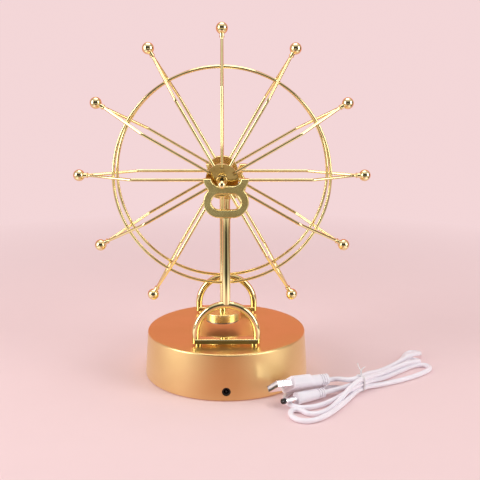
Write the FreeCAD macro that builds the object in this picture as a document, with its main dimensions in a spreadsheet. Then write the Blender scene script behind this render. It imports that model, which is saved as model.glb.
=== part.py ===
"""Ferris wheel desk toy: a spoked wheel with a pendulum on two gold stands over a round drive base.

The origin is below the middle of the axle, on the surface that the toy stands on. X is to the right,
Y goes away from the front and Z is up. Every size is in millimetres.
"""
import FreeCAD, Part
import math
import os

import Sketcher

V = FreeCAD.Vector
DOC = FreeCAD.newDocument("FerrisWheelToy")
SHEET = DOC.addObject("Spreadsheet::Sheet", "Sizes")


class Measure:
    """A size that carries both its number and its formula in the sheet."""

    def __init__(self, value, formula=None):
        self.value = float(value)
        self.formula = formula or f"{self.value:.6f}"

    def _with(self, other, sign, value):
        """Join this formula and another one by a sign."""
        return Measure(value, f"({self.formula} {sign} {measure(other).formula})")

    def __add__(self, other):
        return self._with(other, "+", self.value + measure(other).value)

    def __sub__(self, other):
        return self._with(other, "-", self.value - measure(other).value)

    def __mul__(self, other):
        return self._with(other, "*", self.value * measure(other).value)

    def __truediv__(self, other):
        return self._with(other, "/", self.value / measure(other).value)

    def __radd__(self, other):
        return measure(other) + self

    def __rsub__(self, other):
        return measure(other) - self

    def __rmul__(self, other):
        return measure(other) * self

    def __neg__(self):
        return measure(0) - self

    def __float__(self):
        return self.value


def measure(size):
    """Take a plain number or a Measure, and give a Measure."""
    return size if isinstance(size, Measure) else Measure(size)


def sine(angle):
    """Sine of an angle in degrees."""
    angle = measure(angle)
    return Measure(math.sin(math.radians(angle.value)), f"sin({angle.formula})")


def cosine(angle):
    """Cosine of an angle in degrees."""
    angle = measure(angle)
    return Measure(math.cos(math.radians(angle.value)), f"cos({angle.formula})")


def tangent(angle):
    """Tangent of an angle in degrees."""
    return sine(angle) / cosine(angle)


def root(size):
    """Square root of a size."""
    return Measure(math.sqrt(size.value), f"sqrt({size.formula})")


class Dimensions:
    """The driving dimensions: one row of the sheet each, read back as Measures by name."""

    def __init__(self):
        self.rows = 0

    def group(self, **sizes):
        """Put a group of named sizes into the sheet."""
        for name, size in sizes.items():
            self.rows += 1
            SHEET.set(f"A{self.rows}", name.replace("_", " "))
            SHEET.set(f"B{self.rows}", str(size))
            SHEET.setAlias(f"B{self.rows}", name)
            setattr(self, name, Measure(size, f"Sizes.{name}"))


d = Dimensions()

# Running and seating clearances
d.group(fit_gap=0.05, slide_gap=0.1, cover_gap=0.4)

# Drum-shaped base housing
d.group(
    foot_stand_off=0.8,
    base_radius=58.0,
    base_top_radius=55.9,
    base_height=31.0,
    base_edge_round=1.2,
    base_wall=2.2,
    base_top_wall=2.4,
    boss_radius=3.2,
    boss_place=32.5,
)

# Bottom cover, battery bay and sliding door
d.group(
    cover_thickness=3.0,
    bay_width=45.0,
    bay_length=57.0,
    bay_height=14.8,
    bay_wall=1.5,
    door_width=51.8,
    door_length=62.0,
    door_thickness=1.4,
    door_travel=6.0,
    tongue_reach=1.2,
    tongue_thickness=0.8,
    tongue_length=5.8,
    tongue_place=18.0,
    thumb_width=16.0,
    thumb_length=7.0,
    thumb_depth=0.6,
    thumb_place=20.0,
)

# Rubber feet
d.group(foot_radius=4.5, foot_recess=1.0, foot_circle=47.5)

# Screws
d.group(
    screw_radius=1.4,
    screw_head_radius=2.8,
    screw_head_height=1.4,
    screw_counterbore=1.6,
    cover_screw_length=9.0,
    cross_slot_width=0.7,
    cross_slot_length=3.2,
    cross_slot_depth=0.8,
)

# Drive coil under the top of the base
d.group(
    bobbin_radius=15.0,
    bobbin_flange=1.2,
    bobbin_height=8.8,
    bobbin_core_radius=5.0,
    bobbin_bore_radius=3.0,
    winding_radius=13.6,
)

# Driver board
d.group(
    board_width=36.0,
    board_depth=24.0,
    board_thickness=1.6,
    board_centre=29.5,
    board_drop=4.2,
    board_post_radius=2.5,
    board_post_place=14.0,
    capacitor_radius=2.5,
    capacitor_height=3.2,
    chip_size=5.0,
    chip_height=1.4,
)

# Power socket
d.group(
    socket_height=6.7,
    socket_hole_radius=2.9,
    socket_body_width=6.6,
    socket_body_length=11.5,
    socket_bore_radius=1.85,
    socket_bore_depth=9.5,
    socket_pin_radius=0.65,
    socket_nose_radius=2.8,
)

# Battery contacts
d.group(
    contact_width=16.0,
    contact_height=11.0,
    contact_sheet=0.4,
    contact_bump=1.6,
    contact_place=11.2,
)

# Arched stand feet
d.group(
    stand_place=36.0,
    stand_gap=1.5,
    arch_radius=20.6,
    arch_leg=6.1,
    arch_tube=2.4,
    crossbar_height=3.2,
    crossbar_depth=6.7,
    crossbar_over=0.3,
    crossbar_round=0.9,
    pin_radius=2.3,
    pin_place=18.9,
    pin_thread=3.6,
)

# Posts
d.group(
    post_radius=2.75,
    post_length=57.0,
    post_lap=1.8,
    post_collar_radius=3.05,
    post_collar_height=1.1,
    stud_radius=1.25,
    stud_length=3.4,
    spigot_radius=1.7,
    spigot_length=3.5,
)

# Figure-of-eight cradles with an open top
d.group(
    yoke_straight=4.4,
    yoke_window_radius=5.3,
    yoke_band=5.1,
    yoke_rise=15.7,
    yoke_depth=5.5,
    yoke_tip_drop=0.5,
    yoke_edge=0.8,
    yoke_waist_round=1.2,
)

# Axle, knobs and sleeve
d.group(
    axle_shift=-2.75,
    axle_radius=1.6,
    axle_reach=40.9,
    knob_radius=2.6,
    knob_place=42.0,
    sleeve_radius=4.0,
    collar_radius=5.5,
    collar_half_length=4.0,
)

# Hub discs
d.group(
    hub_place=21.6,
    hub_radius=11.0,
    hub_thickness=3.0,
    hub_edge=0.3,
    hub_boss_radius=3.7,
    hub_boss_height=2.0,
    hub_boss_round=0.8,
    hub_bore_depth=2.5,
    notch_width=2.7,
    notch_radial=2.3,
    notch_depth=1.0,
    notch_rim=0.7,
)

# Arm wires and rims
d.group(
    wire_radius=1.0,
    kink_radius=60.6,
    kink_bend=4.0,
    wire_run=30.7,
    tip_bend=3.0,
    tip_run=3.5,
    tip_gap=0.1,
    rim_run=12.9,
    rim_wire_radius=1.0,
)

# Tip balls with their crimped ferrules
d.group(
    ball_radius=4.0,
    ball_sink=0.4,
    ferrule_lead=1.0,
    ferrule_width=3.0,
    ferrule_depth=4.8,
    ferrule_slot=2.6,
)

# Pendulum with its magnet
d.group(
    rod_radius=1.8,
    rod_socket=3.3,
    rod_nut_radius=2.6,
    rod_nut_height=2.2,
    magnet_gap=6.3,
    cup_radius=13.0,
    cup_height=5.5,
    cup_wall=0.8,
    cup_round=0.6,
    magnet_radius=12.1,
    magnet_proud=1.1,
)

# Lead with a USB plug and a barrel plug
d.group(
    cable_radius=1.7,
    shell_width=12.0,
    shell_height=4.5,
    shell_length=12.5,
    shell_wall=0.35,
    shell_round=0.5,
    tongue_inset=0.7,
    tongue_bar=1.9,
    grip_width=16.0,
    grip_height=8.0,
    grip_length=14.5,
    grip_round=2.4,
    neck_width=10.5,
    neck_height=7.6,
    neck_round=3.0,
    neck_length=17.0,
    barrel_radius=1.75,
    barrel_bore_radius=0.75,
    barrel_bore_depth=9.0,
    barrel_length=11.5,
    jack_grip_radius=4.2,
    jack_grip_end=3.3,
    jack_grip_length=22.0,
    relief_rib=0.5,
    relief_groove=0.9,
    relief_pitch=1.9,
    tie_thickness=0.6,
    tie_width=1.3,
    hank_height=5.2,
    ridge_height=9.6,
    ridge_length=15.0,
    ridge_width=9.0,
    hank_round=1.6,
    hank_waist=60.0,
)

ARM_POSITIONS = 12
ARM_COUNT = ARM_POSITIONS - 1
FULL_TURN = 360
RELIEF_GROOVES = 3
BEND_SHARE = 0.45
TUBE_TOLERANCE = 0.01
SAME = 1e-6
ARM_STEP = FULL_TURN / ARM_POSITIONS
UPRIGHT = FreeCAD.Rotation()
FACING_FRONT = FreeCAD.Rotation(V(1, 0, 0), 90)
FACING_BACK = FACING_FRONT * FreeCAD.Rotation(V(0, 1, 0), 180)
LEFT, RIGHT = 1, -1
FRONT, REAR = -1, 1


class Outline:
    """A sketch on one of a body's own planes, with every point tied to the sheet."""

    def __init__(self, body, role, lift=0):
        self.sketch = body.newObject("Sketcher::SketchObject", "Outline")
        plane = next(feature for feature in body.Origin.OriginFeatures if feature.Role == role)
        self.sketch.AttachmentSupport = [(plane, "")]
        self.sketch.MapMode = "FlatFace"
        self.sketch.setExpression("AttachmentOffset.Base.z", measure(lift).formula)

    def tie(self, kind, size, *geometry):
        """Add one constraint whose size follows the sheet."""
        size = measure(size)
        number = self.sketch.addConstraint(Sketcher.Constraint(kind, *geometry, size.value))
        self.sketch.setExpression(f"Constraints[{number}]", size.formula)

    def pin(self, edge, point, place):
        """Fix one point of an edge by its distances from the origin."""
        self.tie("DistanceX", place[0], -1, 1, edge, point)
        self.tie("DistanceY", place[1], -1, 1, edge, point)

    def circle(self, across, up, radius):
        """Draw a full circle about a point."""
        across, up, radius = measure(across), measure(up), measure(radius)
        ring = Part.Circle(V(across.value, up.value, 0), V(0, 0, 1), radius.value)
        edge = self.sketch.addGeometry(ring, False)
        self.pin(edge, 3, (across, up))
        self.tie("Radius", radius, edge)
        return self

    def run(self, start, corner):
        """Add the edge to one corner: straight, or an arc where the corner gives a radius and a turn."""
        low, high = (V(float(place[0]), float(place[1]), 0) for place in (start, corner))
        if len(corner) == 2:
            return self.sketch.addGeometry(Part.LineSegment(low, high), False), 1, 2
        radius, turn = measure(corner[2]), corner[3]
        chord = high - low
        inward = math.sqrt(max(radius.value ** 2 - chord.Length ** 2 / 4, 0))
        side = V(-chord.y, chord.x, 0).normalize() * (inward * turn)
        centre = (low + high) / 2 + side
        first, last = (low, high) if turn == LEFT else (high, low)
        angles = [math.atan2(point.y - centre.y, point.x - centre.x) for point in (first, last)]
        arc = Part.ArcOfCircle(Part.Circle(centre, V(0, 0, 1), radius.value), *angles)
        edge = self.sketch.addGeometry(arc, False)
        self.tie("Radius", radius, edge)
        return (edge, 1, 2) if turn == LEFT else (edge, 2, 1)

    def path(self, *corners):
        """Draw an open chain of edges through the corners."""
        start = corners[0]
        last = None
        for corner in corners[1:]:
            edge, first_point, last_point = self.run(start, corner)
            if last is None:
                self.pin(edge, first_point, start)
            else:
                self.sketch.addConstraint(Sketcher.Constraint("Coincident", *last, edge, first_point))
            self.pin(edge, last_point, corner)
            last = (edge, last_point)
            start = corner
        return self

    def loop(self, *corners):
        """Draw one closed outline through the corners."""
        chain = []
        for start, corner in zip(corners[-1:] + corners[:-1], corners):
            edge, first_point, last_point = self.run(start, corner)
            chain.append(((edge, first_point), (edge, last_point)))
            self.pin(edge, last_point, corner)
        for before, after in zip(chain[-1:] + chain[:-1], chain):
            self.sketch.addConstraint(Sketcher.Constraint("Coincident", *before[1], *after[0]))
        return self

    def box(self, left, right, low, high, round_radius=None):
        """Draw a rectangle, with rounded corners where a radius is given."""
        if round_radius is None:
            return self.loop((left, low), (right, low), (right, high), (left, high))
        r = round_radius
        return self.loop(
            (left + r, low, r, LEFT),
            (right - r, low),
            (right, low + r, r, LEFT),
            (right, high - r),
            (right - r, high, r, LEFT),
            (left + r, high),
            (left, high - r, r, LEFT),
            (left, low + r),
        )


class Piece:
    """One physical piece: a body with its own label and placement."""

    made = []

    def __init__(self, label, place=(0, 0, 0), turn=UPRIGHT, several=False):
        self.body = DOC.addObject("PartDesign::Body", label)
        self.body.Label = label
        self.body.AllowCompound = several
        self.body.Placement = FreeCAD.Placement(V(), turn)
        across, along, up = place
        for axis, distance in zip("xyz", (measure(across) - d.axle_shift, along, up)):
            self.body.setExpression(f"Placement.Base.{axis}", measure(distance).formula)
        Piece.made.append(self.body)

    def outline(self, role, lift=0):
        """Start a sketch on one of the body's planes."""
        return Outline(self.body, role, lift)

    def feature(self, kind, outline=None, **sizes):
        """Add one feature, and stop if it leaves the volume as it was."""
        DOC.recompute()
        before = self.body.Shape.Volume if self.body.Tip else 0
        item = self.body.newObject(f"PartDesign::{kind}", kind)
        if outline:
            item.Profile = outline.sketch
        for name, size in sizes.items():
            if isinstance(size, Measure):
                item.setExpression(name, size.formula)
            else:
                setattr(item, name, size)
        if kind == "PolarPattern":
            self.body.Tip = item
        DOC.recompute()
        if abs(self.body.Shape.Volume - before) < SAME:
            raise RuntimeError(f"{self.body.Label}: {item.Name} changes nothing")
        return item

    def pad(self, outline, length, both=False, flip=False):
        """Raise an outline into a solid."""
        side = "Symmetric" if both else "One side"
        return self.feature("Pad", outline, SideType=side, Reversed=flip, Length=measure(length))

    def pocket(self, outline, length, both=False, flip=False):
        """Cut an outline into the body."""
        side = "Symmetric" if both else "One side"
        return self.feature("Pocket", outline, SideType=side, Reversed=flip, Length=measure(length))

    def turned(self, outline, axis="V_Axis"):
        """Turn an outline about an axis of its sketch."""
        return self.feature("Revolution", outline, ReferenceAxis=(outline.sketch, [axis]))

    def grooved(self, outline, axis="V_Axis"):
        """Cut by turning an outline about an axis of its sketch."""
        return self.feature("Groove", outline, ReferenceAxis=(outline.sketch, [axis]))

    def pipe(self, outline, path):
        """Sweep a section along a path."""
        return self.feature("AdditivePipe", outline, Spine=path.sketch)

    def around(self, features, count, angle=FULL_TURN):
        """Repeat features about the body's own Z axis."""
        axis = next(item for item in self.body.Origin.OriginFeatures if item.Role == "Z_Axis")
        return self.feature(
            "PolarPattern", Originals=features, Axis=(axis, [""]), Occurrences=count, Angle=angle
        )

    def rounded(self, base, edges, radius):
        """Round edges of the body."""
        return self.feature("Fillet", Base=(base, edges), Radius=measure(radius))


def edges_where(shape, test):
    """Name the edges whose middle point passes a test."""
    names = []
    for number, edge in enumerate(shape.Edges, start=1):
        middle = edge.valueAt((edge.FirstParameter + edge.LastParameter) / 2)
        if test(edge, middle):
            names.append(f"Edge{number}")
    return names


# Heights that several pieces share
base_top = d.foot_stand_off + d.base_height
under_top = base_top - d.base_top_wall
cover_top = d.foot_stand_off + d.cover_thickness
side_slope = (d.base_radius - d.base_top_radius) / d.base_height
arch_bottom = base_top + d.stand_gap
arch_apex = arch_bottom + d.arch_leg + d.arch_radius
post_bottom = arch_apex + d.arch_tube - d.post_lap
yoke_bottom = post_bottom + d.post_length + d.post_lap
yoke_outer = d.yoke_window_radius + d.yoke_band
cradle_centre = yoke_outer + d.yoke_rise
axle_height = yoke_bottom + cradle_centre - d.yoke_window_radius + d.axle_radius + d.fit_gap
hole_gap = 2 * d.fit_gap


def base_housing():
    """Open-bottomed drum with screw bosses, board posts and the power socket's hole."""
    piece = Piece("base_housing", (0, 0, d.foot_stand_off))
    rounding = d.base_edge_round
    outer_top = d.base_top_radius + side_slope * rounding
    inner_top = d.base_top_radius - d.base_wall + side_slope * d.base_top_wall
    inner_height = d.base_height - d.base_top_wall
    piece.turned(piece.outline("XZ_Plane").loop(
        (0, inner_height),
        (inner_top, inner_height),
        (d.base_radius - d.base_wall, 0),
        (d.base_radius, 0),
        (outer_top, d.base_height - rounding),
        (outer_top - rounding, d.base_height, rounding, LEFT),
        (0, d.base_height),
    ))
    bosses = piece.outline("XY_Plane", d.cover_thickness)
    for across in (LEFT, RIGHT):
        for along in (LEFT, RIGHT):
            bosses.circle(across * d.boss_place, along * d.boss_place, d.boss_radius)
    piece.pad(bosses, inner_height - d.cover_thickness)
    posts = piece.outline("XY_Plane", inner_height - d.board_drop)
    for side in (LEFT, RIGHT):
        posts.circle(side * d.board_post_place, d.board_centre, d.board_post_radius)
    piece.pad(posts, d.board_drop)
    pilots = piece.outline("XY_Plane", d.cover_thickness)
    for across in (LEFT, RIGHT):
        for along in (LEFT, RIGHT):
            pilots.circle(across * d.boss_place, along * d.boss_place, d.screw_radius + d.fit_gap)
    piece.pocket(pilots, d.cover_screw_length, flip=True)
    holes = piece.outline("XY_Plane", d.base_height)
    for across in (LEFT, RIGHT):
        for along in (LEFT, RIGHT):
            holes.circle(across * d.pin_place, along * d.stand_place, d.screw_radius + hole_gap)
    piece.pocket(holes, 2 * d.base_top_wall, both=True)
    socket = piece.outline("XZ_Plane", d.base_radius)
    socket.circle(0, d.socket_height - d.foot_stand_off, d.socket_hole_radius)
    piece.pocket(socket, 4 * d.base_wall, both=True)


def bottom_cover():
    """Cover plate with the battery bay, the door's recess and grooves, and recesses for feet and screws."""
    piece = Piece("bottom_cover", (0, 0, d.foot_stand_off))
    plate_radius = d.base_radius - d.base_wall - side_slope * d.cover_thickness - d.cover_gap
    piece.pad(piece.outline("XY_Plane").circle(0, 0, plate_radius), d.cover_thickness)
    half_width = d.bay_width / 2
    half_length = d.bay_length / 2
    ceiling = d.cover_thickness + d.bay_height
    outer_width = half_width + d.bay_wall
    outer_length = half_length + d.bay_wall
    bay = piece.outline("XY_Plane").box(-outer_width, outer_width, -outer_length, outer_length)
    piece.pad(bay, ceiling + d.bay_wall)
    inside = piece.outline("XY_Plane").box(-half_width, half_width, -half_length, half_length)
    piece.pocket(inside, ceiling, flip=True)
    door_side = d.door_width / 2 + d.slide_gap
    door_end = d.door_length / 2 + d.slide_gap
    recess = piece.outline("XY_Plane").box(-door_side, door_side, -door_end, door_end + d.door_travel)
    piece.pocket(recess, d.door_thickness + d.slide_gap, flip=True)
    groove_side = d.door_width / 2 + d.tongue_reach + d.slide_gap
    groove_roof = d.door_thickness + d.slide_gap
    groove_floor = groove_roof - d.tongue_thickness - 2 * d.slide_gap
    reach = d.tongue_length / 2 + d.slide_gap
    for end in (FRONT, REAR):
        low = end * d.tongue_place - reach
        high = end * d.tongue_place + reach
        groove = piece.outline("XY_Plane", groove_floor).box(
            -groove_side, groove_side, low, high + d.door_travel
        )
        piece.pocket(groove, groove_roof - groove_floor, flip=True)
        notch = piece.outline("XY_Plane").box(-groove_side, groove_side, high, high + d.door_travel)
        piece.pocket(notch, groove_floor + d.slide_gap, flip=True)
    feet = piece.outline("XY_Plane")
    for across, along in ((1, 0), (0, 1), (-1, 0), (0, -1)):
        feet.circle(across * d.foot_circle, along * d.foot_circle, d.foot_radius + d.fit_gap)
    piece.pocket(feet, d.foot_recess, flip=True)
    for radius, depth in (
        (d.screw_head_radius + hole_gap, d.screw_counterbore),
        (d.screw_radius + hole_gap, d.cover_thickness),
    ):
        holes = piece.outline("XY_Plane")
        for across in (LEFT, RIGHT):
            for along in (LEFT, RIGHT):
                holes.circle(across * d.boss_place, along * d.boss_place, radius)
        piece.pocket(holes, depth, flip=True)


def battery_door():
    """Flat door with two pairs of tongues and a ribbed thumb recess."""
    piece = Piece("battery_door", (0, 0, d.foot_stand_off))
    half_width = d.door_width / 2
    half_length = d.door_length / 2
    piece.pad(
        piece.outline("XY_Plane").box(-half_width, half_width, -half_length, half_length), d.door_thickness
    )
    for end in (FRONT, REAR):
        tongue = piece.outline("XY_Plane", d.door_thickness - d.tongue_thickness).box(
            -half_width - d.tongue_reach,
            half_width + d.tongue_reach,
            end * d.tongue_place - d.tongue_length / 2,
            end * d.tongue_place + d.tongue_length / 2,
        )
        piece.pad(tongue, d.tongue_thickness)
    pitch = d.thumb_length / 3
    for step in (-1, 0, 1):
        middle = step * pitch - d.thumb_place
        rib = piece.outline("XY_Plane").box(
            -d.thumb_width / 2, d.thumb_width / 2, middle - pitch * 0.3, middle + pitch * 0.3
        )
        piece.pocket(rib, d.thumb_depth, flip=True)


def corners(across, along):
    """The four places of a rectangle of screws, one in each quarter."""
    return [(side * across, end * along) for side in (LEFT, RIGHT) for end in (FRONT, REAR)]


def screws(label, places, head_low, head_height, shank_end):
    """Four cross-slotted screws, heads down, as one group."""
    piece = Piece(label, several=True)
    heads = piece.outline("XY_Plane", head_low)
    shanks = piece.outline("XY_Plane", head_low)
    for across, along in places:
        heads.circle(across, along, d.screw_head_radius)
        shanks.circle(across, along, d.screw_radius)
    piece.pad(heads, head_height)
    piece.pad(shanks, shank_end - head_low)
    half_wide = d.cross_slot_width / 2
    half_long = d.cross_slot_length / 2
    for half_x, half_y in ((half_wide, half_long), (half_long, half_wide)):
        slots = piece.outline("XY_Plane", head_low)
        for across, along in places:
            slots.box(across - half_x, across + half_x, along - half_y, along + half_y)
        piece.pocket(slots, d.cross_slot_depth, flip=True)


def rubber_feet():
    """Four round feet stuck into the cover's recesses."""
    piece = Piece("rubber_feet", several=True)
    feet = piece.outline("XY_Plane")
    for across, along in ((1, 0), (0, 1), (-1, 0), (0, -1)):
        feet.circle(across * d.foot_circle, along * d.foot_circle, d.foot_radius)
    piece.pad(feet, d.foot_stand_off + d.foot_recess)


def drive_coil():
    """Spool and its copper winding, glued under the centre of the top."""
    low = under_top - d.bobbin_height
    spool = Piece("coil_bobbin", (0, 0, low))
    upper = d.bobbin_height - d.bobbin_flange
    spool.turned(spool.outline("XZ_Plane").loop(
        (d.bobbin_bore_radius, 0),
        (d.bobbin_radius, 0),
        (d.bobbin_radius, d.bobbin_flange),
        (d.bobbin_core_radius, d.bobbin_flange),
        (d.bobbin_core_radius, upper),
        (d.bobbin_radius, upper),
        (d.bobbin_radius, d.bobbin_height),
        (d.bobbin_bore_radius, d.bobbin_height),
    ))
    winding = Piece("coil_winding", (0, 0, low))
    winding.turned(winding.outline("XZ_Plane").box(
        d.bobbin_core_radius + d.fit_gap,
        d.winding_radius,
        d.bobbin_flange + d.fit_gap,
        upper - d.fit_gap,
    ))


def control_board():
    """Driver board under the base's two posts, with its capacitors and switching chip."""
    piece = Piece("control_board", (0, d.board_centre, under_top - d.board_drop - d.board_thickness))
    half_width = d.board_width / 2
    half_depth = d.board_depth / 2
    plate = piece.outline("XY_Plane").box(-half_width, half_width, -half_depth, half_depth)
    piece.pad(plate, d.board_thickness)
    beside = d.board_post_place / 2
    cans = piece.outline("XY_Plane", d.board_thickness)
    cans.circle(-beside, half_depth / 2, d.capacitor_radius)
    cans.circle(beside, half_depth / 2, d.capacitor_radius)
    piece.pad(cans, d.capacitor_height)
    half_chip = d.chip_size / 2
    chip = piece.outline("XY_Plane", d.board_thickness).box(-half_chip, half_chip, -d.chip_size, 0)
    piece.pad(chip, d.chip_height)


def power_socket():
    """Barrel-plug socket on the cover, its mouth in the hole at the front."""
    mouth = d.base_radius - d.base_wall
    piece = Piece("dc_socket", (0, -mouth, d.socket_height), FACING_FRONT)
    half = d.socket_body_width / 2
    below = d.socket_height - cover_top
    block = piece.outline("XY_Plane", -d.socket_body_length).box(-half, half, -below, d.socket_nose_radius)
    piece.pad(block, d.socket_body_length - d.base_wall / 2)
    nose = piece.outline("XY_Plane", -d.base_wall).circle(0, 0, d.socket_nose_radius)
    piece.pad(nose, d.base_wall + d.base_wall / 2)
    face = d.base_wall / 2
    bore = piece.outline("XY_Plane", face)
    bore.circle(0, 0, d.socket_bore_radius)
    bore.circle(0, 0, d.socket_pin_radius)
    piece.pocket(bore, d.socket_bore_depth)


def battery_contacts():
    """Four sprung plates against the ends of the battery bay."""
    piece = Piece("battery_contacts", (0, 0, cover_top), several=True)
    end = d.bay_length / 2
    half = d.contact_width / 2
    for side in (FRONT, REAR):
        plates = piece.outline("XZ_Plane", side * (end - d.contact_sheet / 2))
        bumps = piece.outline("XZ_Plane", side * (end - d.contact_sheet))
        for place in (-d.contact_place, d.contact_place):
            plates.box(place - half, place + half, d.slide_gap, d.contact_height)
            bumps.circle(place, d.contact_height / 2, d.contact_bump)
        piece.pad(plates, d.contact_sheet, both=True)
        piece.pad(bumps, d.contact_bump, flip=side == REAR)


def stand(side, name):
    """One stand: an arched foot, the post coped onto its crown, and the open figure-of-eight cradle."""
    place = side * d.stand_place
    arch_foot(f"{name}_arch", place)
    post(f"{name}_post", place)
    yoke(f"{name}_yoke", place)


def arch_foot(label, place):
    """Arched tube with a flat crossbar and two pins that stand it off the base."""
    piece = Piece(label, (0, place, arch_bottom), FACING_FRONT)
    crown = d.arch_leg + d.arch_radius
    rise = piece.outline("XY_Plane").path(
        (-d.arch_radius, 0),
        (-d.arch_radius, d.arch_leg),
        (0, crown, d.arch_radius, RIGHT),
        (d.arch_radius, d.arch_leg, d.arch_radius, RIGHT),
        (d.arch_radius, 0),
    )
    piece.pipe(piece.outline("XZ_Plane").circle(-d.arch_radius, 0, d.arch_tube), rise)
    half_depth = d.crossbar_depth / 2
    rounding = d.crossbar_round
    bar = piece.outline("YZ_Plane").loop(
        (0, -half_depth),
        (d.crossbar_height - rounding, -half_depth),
        (d.crossbar_height, rounding - half_depth, rounding, LEFT),
        (d.crossbar_height, half_depth - rounding),
        (d.crossbar_height - rounding, half_depth, rounding, LEFT),
        (0, half_depth),
    )
    piece.pad(bar, 2 * (d.arch_radius + d.crossbar_over), both=True)
    pins = piece.outline("XZ_Plane")
    threads = piece.outline("XZ_Plane", d.stand_gap)
    for side in (LEFT, RIGHT):
        pins.circle(side * d.pin_place, 0, d.pin_radius)
        threads.circle(side * d.pin_place, 0, d.screw_radius + d.fit_gap)
    piece.pad(pins, d.stand_gap)
    piece.pocket(threads, d.pin_thread)
    stud_hole = piece.outline("XZ_Plane", -crown - d.arch_tube).circle(0, 0, d.stud_radius + d.fit_gap)
    piece.pocket(stud_hole, d.stud_length + d.fit_gap, flip=True)


def post(label, place):
    """Round post: its foot is coped to the arch, and it ends in a collar and a spigot."""
    piece = Piece(label, (0, place, arch_apex))
    foot = d.arch_tube - d.post_lap
    top = yoke_bottom - arch_apex
    piece.turned(piece.outline("XZ_Plane").loop(
        (0, foot),
        (d.post_radius, foot),
        (d.post_radius, top - d.post_collar_height),
        (d.post_collar_radius, top - d.post_collar_height),
        (d.post_collar_radius, top),
        (d.spigot_radius, top),
        (d.spigot_radius, top + d.spigot_length),
        (0, top + d.spigot_length),
    ))
    cope = piece.outline("YZ_Plane").circle(0, d.arch_radius, d.arch_tube)
    cope.sketch.setExpression("AttachmentOffset.Base.y", (-d.arch_radius).formula)
    piece.grooved(cope, "H_Axis")
    stud = piece.outline("XY_Plane", d.arch_tube - d.stud_length).circle(0, 0, d.stud_radius)
    piece.pad(stud, d.stud_length + d.post_radius)


def yoke(label, place):
    """Cast plate like an 8: a closed window below, and above it an open cradle for the axle."""
    piece = Piece(label, (0, place, yoke_bottom), FACING_FRONT)
    outer = yoke_outer
    inner = d.yoke_window_radius
    side = d.yoke_straight
    half_rise = d.yoke_rise / 2
    fillet = d.yoke_waist_round
    share = outer / (outer + fillet)
    waist = side + root((outer + fillet) * (outer + fillet) - half_rise * half_rise) * share
    waist_low = outer + half_rise * share
    waist_high = cradle_centre - half_rise * share
    tip = cradle_centre - d.yoke_tip_drop
    drop = d.yoke_tip_drop * d.yoke_tip_drop
    tip_outer = side + root(outer * outer - drop)
    tip_inner = side + root(inner * inner - drop)
    cradle = cradle_centre - inner
    plate = piece.outline("XY_Plane").loop(
        (-side, 0, outer, LEFT),
        (side, 0),
        (side + outer, outer, outer, LEFT),
        (waist, waist_low, outer, LEFT),
        (waist, waist_high, fillet, RIGHT),
        (tip_outer, tip, outer, LEFT),
        (tip_inner, tip),
        (side, cradle, inner, RIGHT),
        (-side, cradle),
        (-tip_inner, tip, inner, RIGHT),
        (-tip_outer, tip),
        (-waist, waist_high, outer, LEFT),
        (-waist, waist_low, fillet, RIGHT),
        (-side - outer, outer, outer, LEFT),
    )
    body = piece.pad(plate, d.yoke_depth, both=True)
    window = piece.outline("XY_Plane", d.yoke_depth / 2).loop(
        (-side, outer - inner, inner, LEFT),
        (side, outer - inner),
        (side + inner, outer, inner, LEFT),
        (side, outer + inner, inner, LEFT),
        (-side, outer + inner),
        (-side - inner, outer, inner, LEFT),
    )
    body = piece.pocket(window, d.yoke_depth)
    flat = float(d.yoke_depth) / 2
    rims = edges_where(piece.body.Tip.Shape, lambda edge, middle: abs(abs(middle.z) - flat) < SAME)
    piece.rounded(body, rims, d.yoke_edge)
    spigot = piece.outline("XZ_Plane").circle(0, 0, d.spigot_radius + d.fit_gap)
    piece.pocket(spigot, d.spigot_length + d.fit_gap)


AXLE = (d.axle_shift, 0, axle_height)


def on_axle(side, distance):
    """A place on the wheel's axle, in front of its middle or behind it."""
    return d.axle_shift, side * distance, axle_height


def axle():
    """Plain steel rod that lies in both cradles, with a ball knob pressed on each end."""
    rod = Piece("axle", AXLE, FACING_FRONT)
    rod.pad(rod.outline("XY_Plane").circle(0, 0, d.axle_radius), 2 * d.axle_reach, both=True)
    knobs = Piece("axle_knobs", AXLE, FACING_FRONT, several=True)
    for side in (FRONT, REAR):
        low = side * d.knob_place - d.knob_radius
        ball = knobs.outline("XZ_Plane").loop(
            (0, low),
            (d.knob_radius, low + d.knob_radius, d.knob_radius, LEFT),
            (0, low + 2 * d.knob_radius, d.knob_radius, LEFT),
        )
        knobs.turned(ball)
        hole = knobs.outline("XY_Plane", side * (d.axle_reach + d.fit_gap))
        hole.circle(0, 0, d.axle_radius + d.fit_gap)
        knobs.pocket(hole, d.knob_radius * 2, flip=side == FRONT)


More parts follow.
